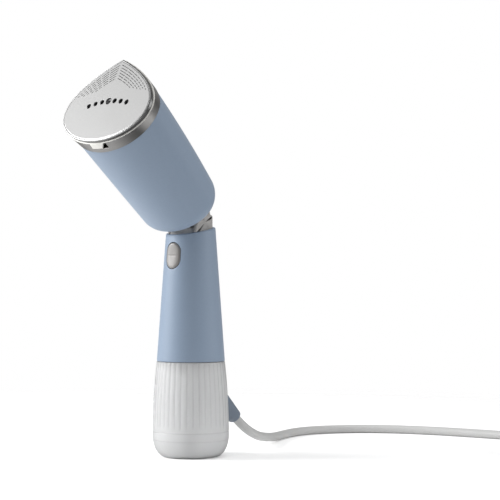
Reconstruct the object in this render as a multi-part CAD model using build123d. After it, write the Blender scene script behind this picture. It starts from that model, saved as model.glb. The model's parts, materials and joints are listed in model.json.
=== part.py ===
from build123d import *

import math
import os

# Handheld garment steamer, in millimetres. +Z is up along the handle, -Y is the side of the button
# and the steam plate, +Y is the side of the cord. The origin is the middle of the tank's underside.

# --- driving dimensions -------------------------------------------------------------------------
WALL = 2.2  # moulded casings
GAP = 0.4  # visible joint between two bodies
RUN = 0.05  # radial clearance of a running fit

# Tank
TANK_FOOT_R = 20.0
TANK_BELLY_R, TANK_BELLY_Z = 30.4, 17.6
TANK_WELD_Z = 12.0
TANK_TOP_Z = 75.6
TANK_TOP_R = 27.15
MOUTH_R = 17.4
DECK = 3.6  # thickness of the tank's top ring

# Handle
BASE_Z = TANK_TOP_Z + GAP
BASE_R = 27.1
HANDLE_SLOPE = 0.0709  # the radius shrinks by this much for each millimetre upwards
RIM_Z = 180.0  # height of the slanted rim at the handle's axis
RIM_SLOPE = 0.18  # the rim is lower at the front

# Rear spine, which carries the mains lead down behind the tank
SPINE_HALF, SPINE_Y, SPINE_Z = 10.2, 21.2, 27.0
CLAMP_X, CLAMP_Z = 4.2, 82.5  # the wire clamp's screws

# Cord gland: a tapered boot that points back and down
GLAND_ANGLE = 40.0
GLAND_END = (52.3, 27.6)  # y, z of the middle of its end face
GLAND_R, GLAND_ROOT_R, GLAND_LONG = 5.8, 8.2, 31.0

# Tilt joint
PIVOT_Z = 190.8
KNUCKLE_R, KNUCKLE_HALF, INNER_HALF = 11.0, 11.7, 4.6
PIN_R = 3.0

# Button
BUTTON_Z, BUTTON_TALL, BUTTON_WIDE, BUTTON_PROUD = 159.6, 20.6, 14.6, 0.7
BUTTON_TRAVEL = 1.5

# Head: the plate leans forward by PLATE_TILT from the level, the casing's end by END_TILT
PLATE_TILT, END_TILT = 65.19, 53.4
TIP_Y, TIP_Z = -75.2, 309.3  # the plate's pointed end
PLATE_HALF, PLATE_TOP, PLATE_BOTTOM = 46.9, 43.0, 28.0
PLATE_THICK = 3.0
SEAL_THICK = 0.6
COLLAR_END = 12.0  # depth of the collar's lower edge behind the plate's face
NECK_CENTRE = -41.5  # middle of the casing's mouth, measured down the plate from its tip
MOUTH = (45.0, 39.0, 32.4)  # half-width, height above and below the middle
WAIST = (40.6, 32.0, 29.4)
END = (36.2, 26.6, 26.2)
END_Y, END_Z = -6.3, 194.2
END_ROUND = 11.0

# Steam holes
HOLE_STEP, HOLE_ROW, HOLE_BOW, HOLE_R, NOZZLE_R = 6.94, -36.55, 0.292, 1.9, 2.6

# Mains lead
CORD_D = 7.5
COIL_TURNS_WIDE, COIL_LAYERS = 3, 2
COIL_MID_R = 41.25
COIL_CENTRE = (214.0, 226.0)
COIL_LIFT = 1.2  # the tie passes under the turns
TIE_THICK, TIE_WIDE, TIE_ANGLE = 1.2, 9.0, 265.0
ROUTE = [
    (0.0, 52.3, 27.6),
    (0.0, 66.86, 15.38),
    (-6.0, 84.5, 7.4),
    (-17.5, 104.5, 4.2),
    (-30.0, 125.5, 3.75),
    (-40.5, 150.0, 3.75),
    (-45.0, 176.0, 3.75),
    (-43.0, 202.5, 3.75),
    (-32.5, 228.0, 3.75),
    (-14.0, 249.0, 3.75),
    (10.5, 264.0, 3.75),
    (38.0, 272.5, 3.75),
    (67.0, 277.0, 3.75),
    (97.0, 279.5, 3.75),
    (127.5, 280.5, 3.75),
    (157.5, 279.8, 4.0),
    (186.5, 277.6, 4.5),
    (214.0, 274.75, 4.95),
]
PLUG_R, PLUG_FRONT, PLUG_REAR, PLUG_BOOT = 18.5, 20.0, 15.0, 26.0
PLUG_Y = 190.0  # where the plug's boot begins
PIN_PITCH, PIN_LONG, CONTACT_R = 19.0, 19.0, 2.4

os.makedirs("parts", exist_ok=True)


# --- helpers ------------------------------------------------------------------------------------
def handle_r(z):
    """Outer radius of the handle at a height."""
    return BASE_R - HANDLE_SLOPE * (z - BASE_Z)


def cylinder(r, z0, z1, x=0.0, y=0.0):
    """An upright cylinder between two heights."""
    return Pos(x, y, (z0 + z1) / 2) * Cylinder(r, z1 - z0)


def block(x, y, z):
    """A box from three (low, high) pairs."""
    size = [high - low for low, high in (x, y, z)]
    middle = [(high + low) / 2 for low, high in (x, y, z)]
    return Pos(*middle) * Box(*size)


def barrel(r, x0, x1, y=0.0, z=0.0):
    """A cylinder along X."""
    return Pos((x0 + x1) / 2, y, z) * Rot(0, 90, 0) * Cylinder(r, x1 - x0)


def across(r, y0, y1, x=0.0, z=0.0):
    """A cylinder along Y."""
    return Pos(x, (y0 + y1) / 2, z) * Rot(90, 0, 0) * Cylinder(r, y1 - y0)


def cone(shrink, z0, z1):
    """The handle's tapered body, made smaller all round by shrink, between two heights."""
    low, high = handle_r(z0) - shrink, handle_r(z1) - shrink
    return Pos(0, 0, (z0 + z1) / 2) * Cone(low, high, z1 - z0)


def rim_slab(below, above):
    """Everything between two planes parallel to the slanted rim, measured up from it."""
    tilt = math.degrees(math.atan(RIM_SLOPE))
    return Pos(0, 0, RIM_Z) * Rot(tilt, 0, 0) * Pos(0, 0, (below + above) / 2) * Box(90, 90, above - below)


def tank_side(shrink):
    """Outline of half the tank from the foot to the top, in the XZ plane, made smaller by shrink."""
    foot, belly = (TANK_FOOT_R - shrink, shrink), (TANK_BELLY_R - shrink, TANK_BELLY_Z)
    drop = TANK_BELLY_R - TANK_TOP_R
    rise = TANK_TOP_Z - TANK_BELLY_Z
    big_r = (rise**2 + drop**2) / (2 * drop)
    half = rise / 2
    middle = (TANK_BELLY_R - (big_r - math.sqrt(big_r**2 - half**2)) - shrink, TANK_BELLY_Z + half)
    top = (TANK_TOP_R - shrink, TANK_TOP_Z)
    bend = EllipticalCenterArc(
        (foot[0], belly[1]), belly[0] - foot[0], belly[1] - foot[1], start_angle=270, arc_size=90
    )
    side = ThreePointArc(belly, middle, top)
    rest = Polyline(top, (0, TANK_TOP_Z), (0, foot[1]), foot)
    return revolve(Plane.XZ * make_face([bend, side, *rest.edges()]), Axis.Z)


def stadium(wide, tall, y0, y1, z):
    """An upright rounded slot's solid between two values of y."""
    back = Plane(origin=(0, y1, z), x_dir=(1, 0, 0), z_dir=(0, -1, 0))
    return extrude(back * Rot(0, 0, 90) * SlotOverall(tall, wide), y1 - y0)


def leaf(half, top, bottom, point, grow=0.0):
    """
    Closed outline of the head's section about its widest line. The upper half runs to a point when
    point is 1 and is half an ellipse when it is 0; the lower half is always half an ellipse.
    """
    half, top, bottom = half + grow, top + grow, bottom + grow
    k = 0.5523
    shoulder = point * 0.405 + (1 - point) * k
    lean_x = point * 0.4286 + (1 - point) * k
    lean_y = point * 0.792 + (1 - point) * 1.0
    upper = [(1, 0), (1, shoulder), (lean_x, lean_y), (0, 1)]
    lower = [(0, -1), (k, -1), (1, -k), (1, 0)]
    right = [(half * x, top * y) for x, y in upper]
    under = [(half * x, bottom * y) for x, y in lower]
    mirrored = [[(-x, y) for x, y in reversed(points)] for points in (right, under)]
    return make_face(Wire([Bezier(*points) for points in (right, mirrored[0], mirrored[1], under)]))


def leaning(tilt, y, z):
    """A plane whose normal leans forward by tilt from +Z, with its local x along +X."""
    a = math.radians(tilt)
    return Plane(origin=(0, y, z), x_dir=(1, 0, 0), z_dir=(0, -math.sin(a), math.cos(a)))


plate_frame = leaning(PLATE_TILT, TIP_Y, TIP_Z)  # local y up the plate, local z out of its face


def on_plate(shape):
    """Places a shape that was made in the steam plate's frame."""
    return plate_frame.location * shape


def plate_leaf(z, grow=0.0):
    """The plate's outline, grown or shrunk, at a local depth z, in the plate's frame."""
    return Pos(0, -PLATE_TOP, z) * leaf(PLATE_HALF, PLATE_TOP, PLATE_BOTTOM, 1.0, grow)


def casing_leaf(share, size, point, grow, stop=0.0):
    """A section of the head's casing at a share of the way from its mouth to its end."""
    mouth = plate_frame.from_local_coords(Vector(0, NECK_CENTRE, -COLLAR_END))
    end = Vector(0, END_Y, END_Z)
    middle = mouth + (end - mouth) * (share - stop)
    tilt = PLATE_TILT + (END_TILT - PLATE_TILT) * share
    return leaning(tilt, middle.Y, middle.Z).location * leaf(*size, point, grow)


def casing_body(grow, stop, rounding):
    """The head's body from its mouth to its rounded end."""
    sections = [
        casing_leaf(0.0, MOUTH, 1.0, grow),
        casing_leaf(0.5, WAIST, 0.2, grow),
        casing_leaf(1.0, END, 0.0, grow, stop),
    ]
    body = loft(sections)
    end = body.faces().sort_by(Axis((0, 0, 0), (0, 0.721, -0.692)))[-1]
    return fillet(end.edges(), rounding)


def save(name, *solids):
    """Writes one node. Several solids in it stay separate."""
    shape = solids[0] if len(solids) == 1 else Compound(children=list(solids))
    shape.label = name
    export_step(shape, f"parts/{name}.step")


# --- tank ---------------------------------------------------------------------------------------
outer = tank_side(0.0)
inner = tank_side(WALL)


def spine_block(grow):
    """The space that the rear spine takes from the tank, grown on every side."""
    return block((-SPINE_HALF - grow, SPINE_HALF + grow), (SPINE_Y - grow, 40), (SPINE_Z - grow, 90))


channel = spine_block(GAP)
channel_wall = spine_block(GAP + WALL)
room = (inner - channel_wall) - block((-40, 40), (-40, 40), (TANK_TOP_Z - DECK, 90))

below_weld = block((-40, 40), (-40, 40), (-1, TANK_WELD_Z))
save("tank_base", (outer - inner) & below_weld)
save("water_tank", outer - room - below_weld - channel - cylinder(MOUTH_R, TANK_TOP_Z - DECK - 1, 90))

# --- spine and gland ----------------------------------------------------------------------------
wire_groove = block((-3, 3), (SPINE_Y - 1, SPINE_Y + 2.4), (38, 88))
spine = outer & block((-SPINE_HALF, SPINE_HALF), (SPINE_Y, 40), (SPINE_Z, TANK_TOP_Z + 1))
spine += block((-5.6, 5.6), (SPINE_Y, 22.9), (TANK_TOP_Z - 1, 86))
for x in (-CLAMP_X, CLAMP_X):
    spine -= across(1.05, SPINE_Y - 1, 22.6, x, CLAMP_Z)
gland_axis = Plane(
    origin=(0, *GLAND_END),
    x_dir=(1, 0, 0),
    z_dir=(0, math.cos(math.radians(GLAND_ANGLE)), -math.sin(math.radians(GLAND_ANGLE))),
)
boot = gland_axis.location * Pos(0, 0, -GLAND_LONG / 2) * Cone(GLAND_ROOT_R, GLAND_R, GLAND_LONG)
web_side = [(26.0, 24.5), (44.5, 24.5), (49.0, 27.5), (44.0, 34.0), (30.0, 47.0), (26.0, 50.0)]
web = extrude(Plane.YZ * make_face(Polyline(*web_side, close=True)), 4.6, both=True)
gland = fillet(boot.edges().sort_by(Axis.Y)[-1:], 1.6) + web
cable_bore = gland_axis.location * Pos(0, 0, -GLAND_LONG / 2) * Cylinder(3.0, GLAND_LONG - 2)
save("rear_spine", spine - wire_groove)
save("cord_gland", gland - outer - cable_bore)
wires = [cylinder(1.1, 44, 90, x, SPINE_Y + 1.15) for x in (-1.6, 1.6)]
save("supply_wires", *wires)

# --- handle -------------------------------------------------------------------------------------
shell = cone(0, BASE_Z, 188) - rim_slab(0, 30)
top_edge = shell.edges().sort_by(Axis.Z)[-1:]
shell = fillet(top_edge, 1.2) - cone(WALL, BASE_Z, 188)
button_hole = stadium(BUTTON_WIDE + 2 * GAP, BUTTON_TALL + 2 * GAP, -40, -10, BUTTON_Z)
save("handle_casing", shell - button_hole)

plug_disc = cylinder(24.3, BASE_Z, 79.4) - block((-8.6, 8.6), (17.4, 40), (70, 90))
dock = plug_disc + cylinder(16.9, 66, BASE_Z + 1)
dock += cylinder(3.2, 79, 88, -14) + cylinder(3.2, 79, 88, 14)
dock -= cylinder(1.45, 80.5, 89, -14) + cylinder(1.45, 80.5, 89, 14)
dock -= cylinder(20, 72.7, 74.9) - cylinder(15.8, 72, 76)
dock -= cylinder(1.5, 60, 90)
save("dock_plug", dock)
save("dock_seal", cylinder(MOUTH_R - 0.08, 72.8, 74.8) - cylinder(15.85, 72, 76))
save("pickup_hose", cylinder(2.6, 14, 66) - cylinder(1.5, 10, 70))
save("pickup_filter", cylinder(5, 4, 14) - cylinder(1.5, 6, 15))

board_slot = block((-10, 10), (12.9, 15.1), (80, 150))
lower_deck = cylinder(22.4, 88, 90) - cylinder(4.5, 80, 95, 0, -5) - board_slot
upper_deck = cylinder(18.9, 143.5, 145.5) - block((-5, 5), (-10, 9), (140, 150)) - board_slot
screw_holes = cylinder(1.5, 80, 95, -14) + cylinder(1.5, 80, 95, 14)
wire_pass = block((-4, 4), (19.5, 40), (80, 95))
rail = block((-6, 6), (15.3, 16.9), (88, 160))
save("inner_chassis", lower_deck + upper_deck + rail - screw_holes - wire_pass)
screws = [cylinder(1.4, 81, 90, x) + cylinder(2.6, 90, 92, x) for x in (-14, 14)]
save("chassis_screws", *screws)

pump = cylinder(9.5, 96, 136, 0, -5) + cylinder(2.5, 92, 96, 0, -5) + cylinder(2.5, 136, 141, 0, -5)
save("pump_body", pump)
save("pump_coil", cylinder(14.6, 105, 128, 0, -5) - cylinder(9.6, 100, 130, 0, -5))
mounts = [cylinder(12, z, z + 3.5, 0, -5) - cylinder(9.5, z - 1, z + 5, 0, -5) for z in (99, 130.5)]
save("pump_mounts", *mounts)


def tube(points, radii, outer_r):
    """A round bar along straight runs joined by tangent arcs."""
    path = FilletPolyline(*points, radius=radii) if radii else Line(*points)
    start = Plane(origin=path @ 0, z_dir=path % 0)
    return sweep(start * Circle(outer_r), path)


save("intake_tube", tube([(0, 0, 79.4), (0, 0, 83.5), (0, -5, 88), (0, -5, 92)], [3, 3], 2.4))
save("outlet_tube", tube([(0, -5, 141), (0, -5, 146), (0, 4, 155), (0, 4, 168)], [5, 5], 2.4))
save("circuit_board", block((-9, 9), (13.2, 14.8), (92, 150)))
parts_on_board = [
    block((-7, 7), (8.2, 13.2), (92.5, 98)),
    block((-6, 6), (7, 13.2), (131, 142)),
    block((-8, -3), (10.4, 13.2), (112, 122)),
]
save("board_parts", *parts_on_board)
save("microswitch", block((-6, 6), (-12.4, -6), (154.6, 164.6)))
clamp = block((-6.6, 6.6), (19.2, SPINE_Y), (80, 85))
clamp_screws = []
for x in (-CLAMP_X, CLAMP_X):
    clamp -= across(1.1, 19, 22, x, CLAMP_Z)
    clamp_screws.append(across(1.0, 19.2, 22.4, x, CLAMP_Z) + across(1.9, 17.8, 19.2, x, CLAMP_Z))
save("cable_clamp", clamp)
save("clamp_screws", *clamp_screws)

knuckle = barrel(KNUCKLE_R, -INNER_HALF, INNER_HALF, 0, PIVOT_Z)
knuckle += block((-INNER_HALF, INNER_HALF), (-8, 8), (171, PIVOT_Z))
knuckle += cylinder(17.4, 168, 172) - block((-20, 20), (-20, -11.8), (160, 180))
knuckle -= barrel(PIN_R + RUN, -20, 20, 0, PIVOT_Z) + cylinder(2.4, 160, 171, 0, 4)
save("neck_knuckle", knuckle)
cap = (cone(WALL + 0.1, 160, 188) & rim_slab(-4.1, -1.6)) - block((-5, 5), (-8.6, 8.6), (160, 200))
save("neck_cap", cap - barrel(KNUCKLE_R + GAP, -12.2, 12.2, 0, PIVOT_Z))
washers = [
    barrel(8, x0, x0 + 0.5, 0, PIVOT_Z) - barrel(PIN_R + RUN, x0 - 1, x0 + 2, 0, PIVOT_Z)
    for x0 in (-INNER_HALF - 0.5, INNER_HALF)
]
save("hinge_washers", *washers)

# --- button -------------------------------------------------------------------------------------
button = stadium(BUTTON_WIDE, BUTTON_TALL, -40, -15.5, BUTTON_Z) & cone(-BUTTON_PROUD, 140, 175)
button -= stadium(9, 15, -19.4, -10, BUTTON_Z)
button += across(2.0, -20, -14.0, 0, BUTTON_Z)
save("steam_button", button)
frame_ring = stadium(18.5, 25.0, -15.4, -12.6, BUTTON_Z) - stadium(15.4, 21.4, -16, -13.8, BUTTON_Z)
save("button_frame", frame_ring - across(2.6, -20, -10, 0, BUTTON_Z))
save("button_spring", across(3.6, -19.4, -13.8, 0, BUTTON_Z) - across(2.7, -20, -13, 0, BUTTON_Z))

# --- head: plate, seal and collar ---------------------------------------------------------------
holes = []
for i in range(-3, 4):
    r = NOZZLE_R if i == 0 else HOLE_R
    holes.append(Pos(i * HOLE_STEP, HOLE_ROW - HOLE_BOW * i * i, 0) * Cylinder(r, 60))
plate = extrude(plate_leaf(-PLATE_THICK), PLATE_THICK)
plate = fillet(plate.faces().sort_by(Axis.Z)[-1].edges(), 1.4)
for hole in holes:
    plate -= hole
save("steam_plate", on_plate(plate))
nozzle = Pos(0, HOLE_ROW, -2.5) * (Cylinder(NOZZLE_R - 0.5, 3.4) - Cylinder(0.9, 10))
save("centre_nozzle", on_plate(nozzle))

seal_z = -PLATE_THICK - SEAL_THICK
seal = extrude(plate_leaf(seal_z, 0.9), SEAL_THICK) - extrude(plate_leaf(seal_z - 1, -3.0), 5)
save("plate_seal", on_plate(seal))


def collar_solid(grow):
    """The tapering ring's outer form, made smaller by a negative grow."""
    return loft(
        [
            plate_leaf(seal_z, 0.9 + grow),
            Pos(0, NECK_CENTRE, -COLLAR_END) * leaf(45.5, 39.4, 32.8, 1.0, grow),
        ]
    )


tab_side = [(-8, seal_z), (8, seal_z), (6, -8.2), (-6, -8.2)]
notch_side = [(-8.4, seal_z), (8.9, seal_z), (11.5, -8.6), (-6.4, -8.6)]


def under_plate(side, y0, y1):
    """A prism along the plate's length from an outline in its x and depth."""
    return Pos(0, y1, 0) * extrude(Plane.XZ * make_face(Polyline(*side, close=True)), y1 - y0)


collar = collar_solid(0.0) - collar_solid(-1.2)
save("collar", on_plate(collar - under_plate(notch_side, -90, -60)))
tab = under_plate(tab_side, -74.6, -68.6) & collar_solid(0.3)
save("latch_tab", on_plate(tab))

# --- head: boiler -------------------------------------------------------------------------------
chamber_z, cover_z = -16.0, -18.0
chamber = extrude(plate_leaf(chamber_z, -8.6), -chamber_z - PLATE_THICK)
chamber -= extrude(plate_leaf(-7.0, -13), 4.0)
chamber -= extrude(plate_leaf(chamber_z, -13), 6.0)
chamber -= Pos(0, -20, -8) * Cylinder(2, 8)
corners = [(24, -27), (-24, -27), (25, -56), (-25, -56)]
for x, y in corners:
    chamber += Pos(x, y, -9.5) * Cylinder(3.2, 13.0)
    chamber -= Pos(x, y, -13.0) * Cylinder(1.6, 8.0)
save("steam_chamber", on_plate(chamber))
cover = extrude(plate_leaf(cover_z, -8.6), chamber_z - cover_z) - Pos(0, -60, -17) * Cylinder(1.6, 10)
for x, y in corners:
    cover -= Pos(x, y, -17) * Cylinder(1.6, 10)
save("chamber_cover", on_plate(cover))
chamber_screws = []
for x, y in corners:
    shank, screw_head = Pos(x, y, -13.6) * Cylinder(1.5, 8.8), Pos(x, y, cover_z - 1) * Cylinder(2.8, 2.0)
    chamber_screws.append(on_plate(shank + screw_head))
save("chamber_screws", *chamber_screws)

HEATER_R = 3.2
heater_z = cover_z - HEATER_R
heater_path = [(-15, -54, heater_z), (-15, -24, heater_z), (15, -24, heater_z), (15, -54, heater_z)]
save("heating_element", on_plate(tube(heater_path, [13, 13], HEATER_R)))
terminals = [on_plate(Pos(x, -58, heater_z) * Rot(90, 0, 0) * Cylinder(1.2, 8)) for x in (-15, 15)]
save("heater_terminals", *terminals)
save("thermostat", on_plate(Pos(0, -40, cover_z - 3) * Cylinder(7.5, 6)))
save("thermal_fuse", on_plate(Pos(0, -51.5, cover_z - 2) * Rot(0, 90, 0) * Cylinder(2, 12)))
shield = extrude(Pos(0, -47, -28) * leaf(37, 30, 25, 0.7), 1.6) - Pos(0, -60, -28) * Cylinder(3.4, 10)
save("heat_shield", on_plate(shield))
inlet = tube([(0, -60, cover_z), (0, -60, -40), (0, -66, -52)], [12], 2.5)
save("steam_inlet_tube", on_plate(inlet))

# --- head: fork, pin and casing -----------------------------------------------------------------
head_tilt = 46.2
fork_frame = leaning(head_tilt, 0, PIVOT_Z)  # local z runs from the pivot along the head


def in_head(shape):
    """Places a shape that was made about the pivot with the head along +Z."""
    return fork_frame.location * shape


TONGUE_TOP = 15.0
fork = block((-24, 24), (-13, 11), (12, TONGUE_TOP))
for side in (-1, 1):
    inside, outside = sorted((side * (INNER_HALF + 0.6), side * KNUCKLE_HALF))
    cheek = barrel(KNUCKLE_R, inside, outside) + block((inside, outside), (-KNUCKLE_R, KNUCKLE_R), (0, 12.5))
    fork += cheek
    fork += block(sorted((side * 17.5, side * 20.5)), (-5, 3), (14, 84))
fork -= barrel(KNUCKLE_R + GAP, -INNER_HALF - 0.6, INNER_HALF + 0.6)
fork -= barrel(PIN_R, -20, 20)
save("hinge_fork", in_head(fork))
save("hinge_pin", in_head(barrel(PIN_R, -9.6, 9.6)))
covers = [barrel(PIN_R, *sorted((side * 9.8, side * KNUCKLE_HALF))) for side in (-1, 1)]
save("pin_covers", *[in_head(c) for c in covers])

body = casing_body(0.0, 0.0, END_ROUND)
hollow = casing_body(-WALL, WALL / 104.5, END_ROUND - WALL)
slot = in_head(block((-KNUCKLE_HALF - 0.25, KNUCKLE_HALF + 0.25), (-11.25, 11.25), (-5, 25)))
save("head_casing", body - hollow - slot)


# --- mains lead ---------------------------------------------------------------------------------
def corner_radii(points):
    """The largest even arc for each corner of a route."""
    spots = [Vector(*p) for p in points]
    radii = []
    for before, here, after in zip(spots, spots[1:], spots[2:]):
        turn = math.radians((here - before).get_angle(after - here))
        shorter = min((here - before).length, (after - here).length)
        radii.append(0.45 * shorter / math.tan(turn / 2))
    return radii


radii = corner_radii(ROUTE)
print("cord radii", [round(r) for r in radii])
lead = tube(ROUTE, radii, CORD_D / 2)
save("cord_lead", lead)
lead_long = FilletPolyline(*ROUTE, radius=radii).length
lead_volume = math.pi * CORD_D**2 / 4 * lead_long
print("lead", round(lead_long, 1), "volume ratio", round(lead.volume / lead_volume, 4))

coil_w, coil_h = COIL_TURNS_WIDE * CORD_D, COIL_LAYERS * CORD_D
ring_face = Plane.XZ * Pos(COIL_MID_R, COIL_LIFT + coil_h / 2) * RectangleRounded(coil_w, coil_h, 3.5)
coil = Pos(*COIL_CENTRE, 0) * revolve(ring_face, Axis.Z)
save("cord_coil", coil)
tie_spot = Pos(COIL_MID_R, 0, COIL_LIFT + coil_h / 2)
tie_hole = tie_spot * Box(coil_w + 1.0, 3 * TIE_WIDE, coil_h)
tie = tie_spot * Box(coil_w + 1.0 + 2 * TIE_THICK, TIE_WIDE, coil_h + 2 * TIE_THICK) - tie_hole
save("coil_tie", Pos(*COIL_CENTRE, 0) * Rot(0, 0, TIE_ANGLE) * tie)

plug_x = COIL_CENTRE[0] + COIL_MID_R + CORD_D
tail_start = (plug_x, COIL_CENTRE[1] - 14, COIL_LIFT + 1.5 * CORD_D + 1)
save("cord_tail", tube([tail_start, (plug_x, PLUG_Y, PLUG_R)], None, CORD_D / 2))
plug_long = PLUG_BOOT + PLUG_REAR + PLUG_FRONT
half_plug = [
    (0, 0),
    (0, 5.0),
    (PLUG_BOOT, 8.0),
    (PLUG_BOOT, 11.0),
    (PLUG_BOOT + PLUG_REAR, PLUG_R),
    (plug_long, PLUG_R),
    (plug_long, 0),
]
plug = revolve(make_face(Polyline(*half_plug, close=True)), Axis.X)
save("plug_body", Pos(plug_x, PLUG_Y, PLUG_R) * Rot(0, 0, -90) * plug)
face_y = PLUG_Y - plug_long
pin_x = [plug_x + side * PIN_PITCH / 2 for side in (-1, 1)]
save("plug_pins", *[across(CONTACT_R, face_y - PIN_LONG, face_y, x, PLUG_R) for x in pin_x])
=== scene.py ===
import json
import logging
import math
from dataclasses import dataclass
from enum import Enum
from typing import Sequence

import bmesh
import bpy
import numpy as np
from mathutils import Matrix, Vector
from mathutils.geometry import delaunay_2d_cdt


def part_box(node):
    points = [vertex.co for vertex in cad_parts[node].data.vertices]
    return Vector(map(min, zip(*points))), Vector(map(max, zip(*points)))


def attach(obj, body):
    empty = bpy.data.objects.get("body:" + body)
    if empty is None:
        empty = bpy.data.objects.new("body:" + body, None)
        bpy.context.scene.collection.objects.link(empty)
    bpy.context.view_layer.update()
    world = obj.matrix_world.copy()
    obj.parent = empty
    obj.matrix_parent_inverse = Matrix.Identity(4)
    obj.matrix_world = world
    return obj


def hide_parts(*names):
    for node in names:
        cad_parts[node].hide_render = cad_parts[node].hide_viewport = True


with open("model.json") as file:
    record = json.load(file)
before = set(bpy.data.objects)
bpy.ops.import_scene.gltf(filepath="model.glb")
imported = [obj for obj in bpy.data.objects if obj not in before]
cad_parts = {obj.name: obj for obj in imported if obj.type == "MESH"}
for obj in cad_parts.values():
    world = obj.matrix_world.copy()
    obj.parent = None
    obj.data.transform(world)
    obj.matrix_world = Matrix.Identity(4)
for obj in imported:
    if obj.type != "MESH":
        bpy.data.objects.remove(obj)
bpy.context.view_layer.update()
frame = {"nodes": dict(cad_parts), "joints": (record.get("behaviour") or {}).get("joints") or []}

# Handheld garment steamer, in metres. +Z is up along the handle, -Y is the side of the button and
# the steam plate, +Y is the side of the mains lead. Shapes are worked out in millimetres and put
# into their meshes in metres.

Array = np.ndarray
Tree = bpy.types.NodeTree
Socket = bpy.types.NodeSocket
Material = bpy.types.Material
Piece = bpy.types.Object
Colour = tuple[float, float, float]
PaintedReflectionBands = tuple[tuple[float, float], ...]
Pair = tuple[int, int]
MM = 0.001
SHARP_TURN = math.radians(38)  # edges that turn by more than this are drawn sharp
WELD = 2e-6  # points nearer than this are one point

logging.basicConfig(level=logging.INFO, format="%(name)s: %(message)s")
log = logging.getLogger("garment_steamer")


# --- places read from the frame ------------------------------------------------------------------
def span(node: str) -> tuple[Array, Array]:
    """Reads where a CAD node lies.

    Args:
        node: The CAD node's name.

    Returns:
        Its lowest and highest corner, in millimetres.
    """
    low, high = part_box(node)
    return np.array(low) / MM, np.array(high) / MM


def pivot_of(joint: str) -> Array:
    """Returns the point of a joint's axis, in millimetres."""
    found = next(j for j in frame["joints"] if j["name"] == joint)
    return np.array(found["pos_m"], float) / MM


# --- surfaces ------------------------------------------------------------------------------------
@dataclass
class Patch:
    """A surface's points, in millimetres, its faces, its material's number and whether it is flat."""

    points: Array
    faces: Array
    material: int = 0
    flat: bool = False


def grid(points: Array, rows_close: bool = False, columns_close: bool = True, material: int = 0) -> Patch:
    """Joins a grid of points with four-sided faces.

    Args:
        points: An array of rows by columns by 3.
        rows_close: Whether the last row joins the first.
        columns_close: Whether the last column joins the first.
        material: The number of the patch's material.

    Returns:
        The patch.
    """
    rows, columns = points.shape[:2]
    i = np.arange(rows if rows_close else rows - 1)[:, None]
    j = np.arange(columns if columns_close else columns - 1)[None, :]
    below, beside = (i + 1) % rows, (j + 1) % columns
    corners = [i * columns + j, i * columns + beside, below * columns + beside, below * columns + j]
    return Patch(points.reshape(-1, 3), np.stack(corners, -1).reshape(-1, 4), material)


def make_piece(name: str, patches: Sequence[Patch], finishes: Sequence[Material]) -> Piece:
    """Puts patches into one mesh, closes its seams and poles and points its faces outwards.

    Args:
        name: The piece's name.
        patches: The surfaces, in millimetres.
        finishes: The materials that the patches' numbers stand for.

    Returns:
        The new object, at the origin.
    """
    starts = np.cumsum([0] + [len(p.points) for p in patches])
    faces = [face for p, start in zip(patches, starts) for face in (p.faces + start).tolist()]
    numbers = np.concatenate([np.full(len(p.faces), p.material, np.int32) for p in patches])
    mesh = bpy.data.meshes.new(name)
    mesh.from_pydata((np.concatenate([p.points for p in patches]) * MM).tolist(), [], faces)
    mesh.polygons.foreach_set("material_index", numbers)
    smooth = np.concatenate([np.full(len(p.faces), not p.flat) for p in patches])
    mesh.polygons.foreach_set("use_smooth", smooth)
    shape = bmesh.new()
    shape.from_mesh(mesh)
    bmesh.ops.remove_doubles(shape, verts=shape.verts, dist=WELD)
    bmesh.ops.recalc_face_normals(shape, faces=shape.faces)
    shape.to_mesh(mesh)
    shape.free()
    smooth = np.empty(len(mesh.polygons), bool)
    mesh.polygons.foreach_get("use_smooth", smooth)
    mesh.set_sharp_from_angle(angle=SHARP_TURN)
    mesh.polygons.foreach_set("use_smooth", smooth)
    for finish in finishes:
        mesh.materials.append(finish)
    piece = bpy.data.objects.new(name, mesh)
    bpy.context.scene.collection.objects.link(piece)
    return piece


def stand_for(piece: Piece, body: str, slot: str, *nodes: str) -> Piece:
    """Lets a piece ride on a body and stand for CAD nodes.

    Args:
        piece: The new piece.
        body: The CAD body that it moves with.
        slot: The record's material slot; not used.
        *nodes: The CAD nodes that it stands for.

    Returns:
        The piece.
    """
    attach(piece, body)
    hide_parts(*nodes)
    faces = len(piece.data.polygons) if piece.type == "MESH" else 0
    log.info("%s rides on %s, %d faces", piece.name, body, faces)
    return piece


# --- outlines ------------------------------------------------------------------------------------
def inset(outline: Array, amount: float | Array) -> Array:
    """Moves a closed anticlockwise outline inwards, each point against its outward normal.

    Args:
        outline: Points along the outline, any shape ending in count by 2.
        amount: How far, a number or an array that fits the points.

    Returns:
        The moved points.
    """
    along = np.roll(outline, -1, axis=-2) - np.roll(outline, 1, axis=-2)
    outward = np.stack([along[..., 1], -along[..., 0]], -1)
    outward /= np.linalg.norm(outward, axis=-1, keepdims=True)
    return outline - outward * amount


def edge_turn(radius: float, steps: int = 5) -> tuple[Array, Array]:
    """A quarter circle from a face to a side.

    Args:
        radius: The edge's radius.
        steps: How many points.

    Returns:
        The distances in from the side, radius times 1 less the sine, and down from the face, radius
        times 1 less the cosine.
    """
    turn = np.linspace(0, math.pi / 2, steps)
    return radius * (1 - np.sin(turn)), radius * (1 - np.cos(turn))


def around(count: int) -> Array:
    """Returns evenly spaced angles of a full turn."""
    return np.arange(count) * 2 * math.pi / count


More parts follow.
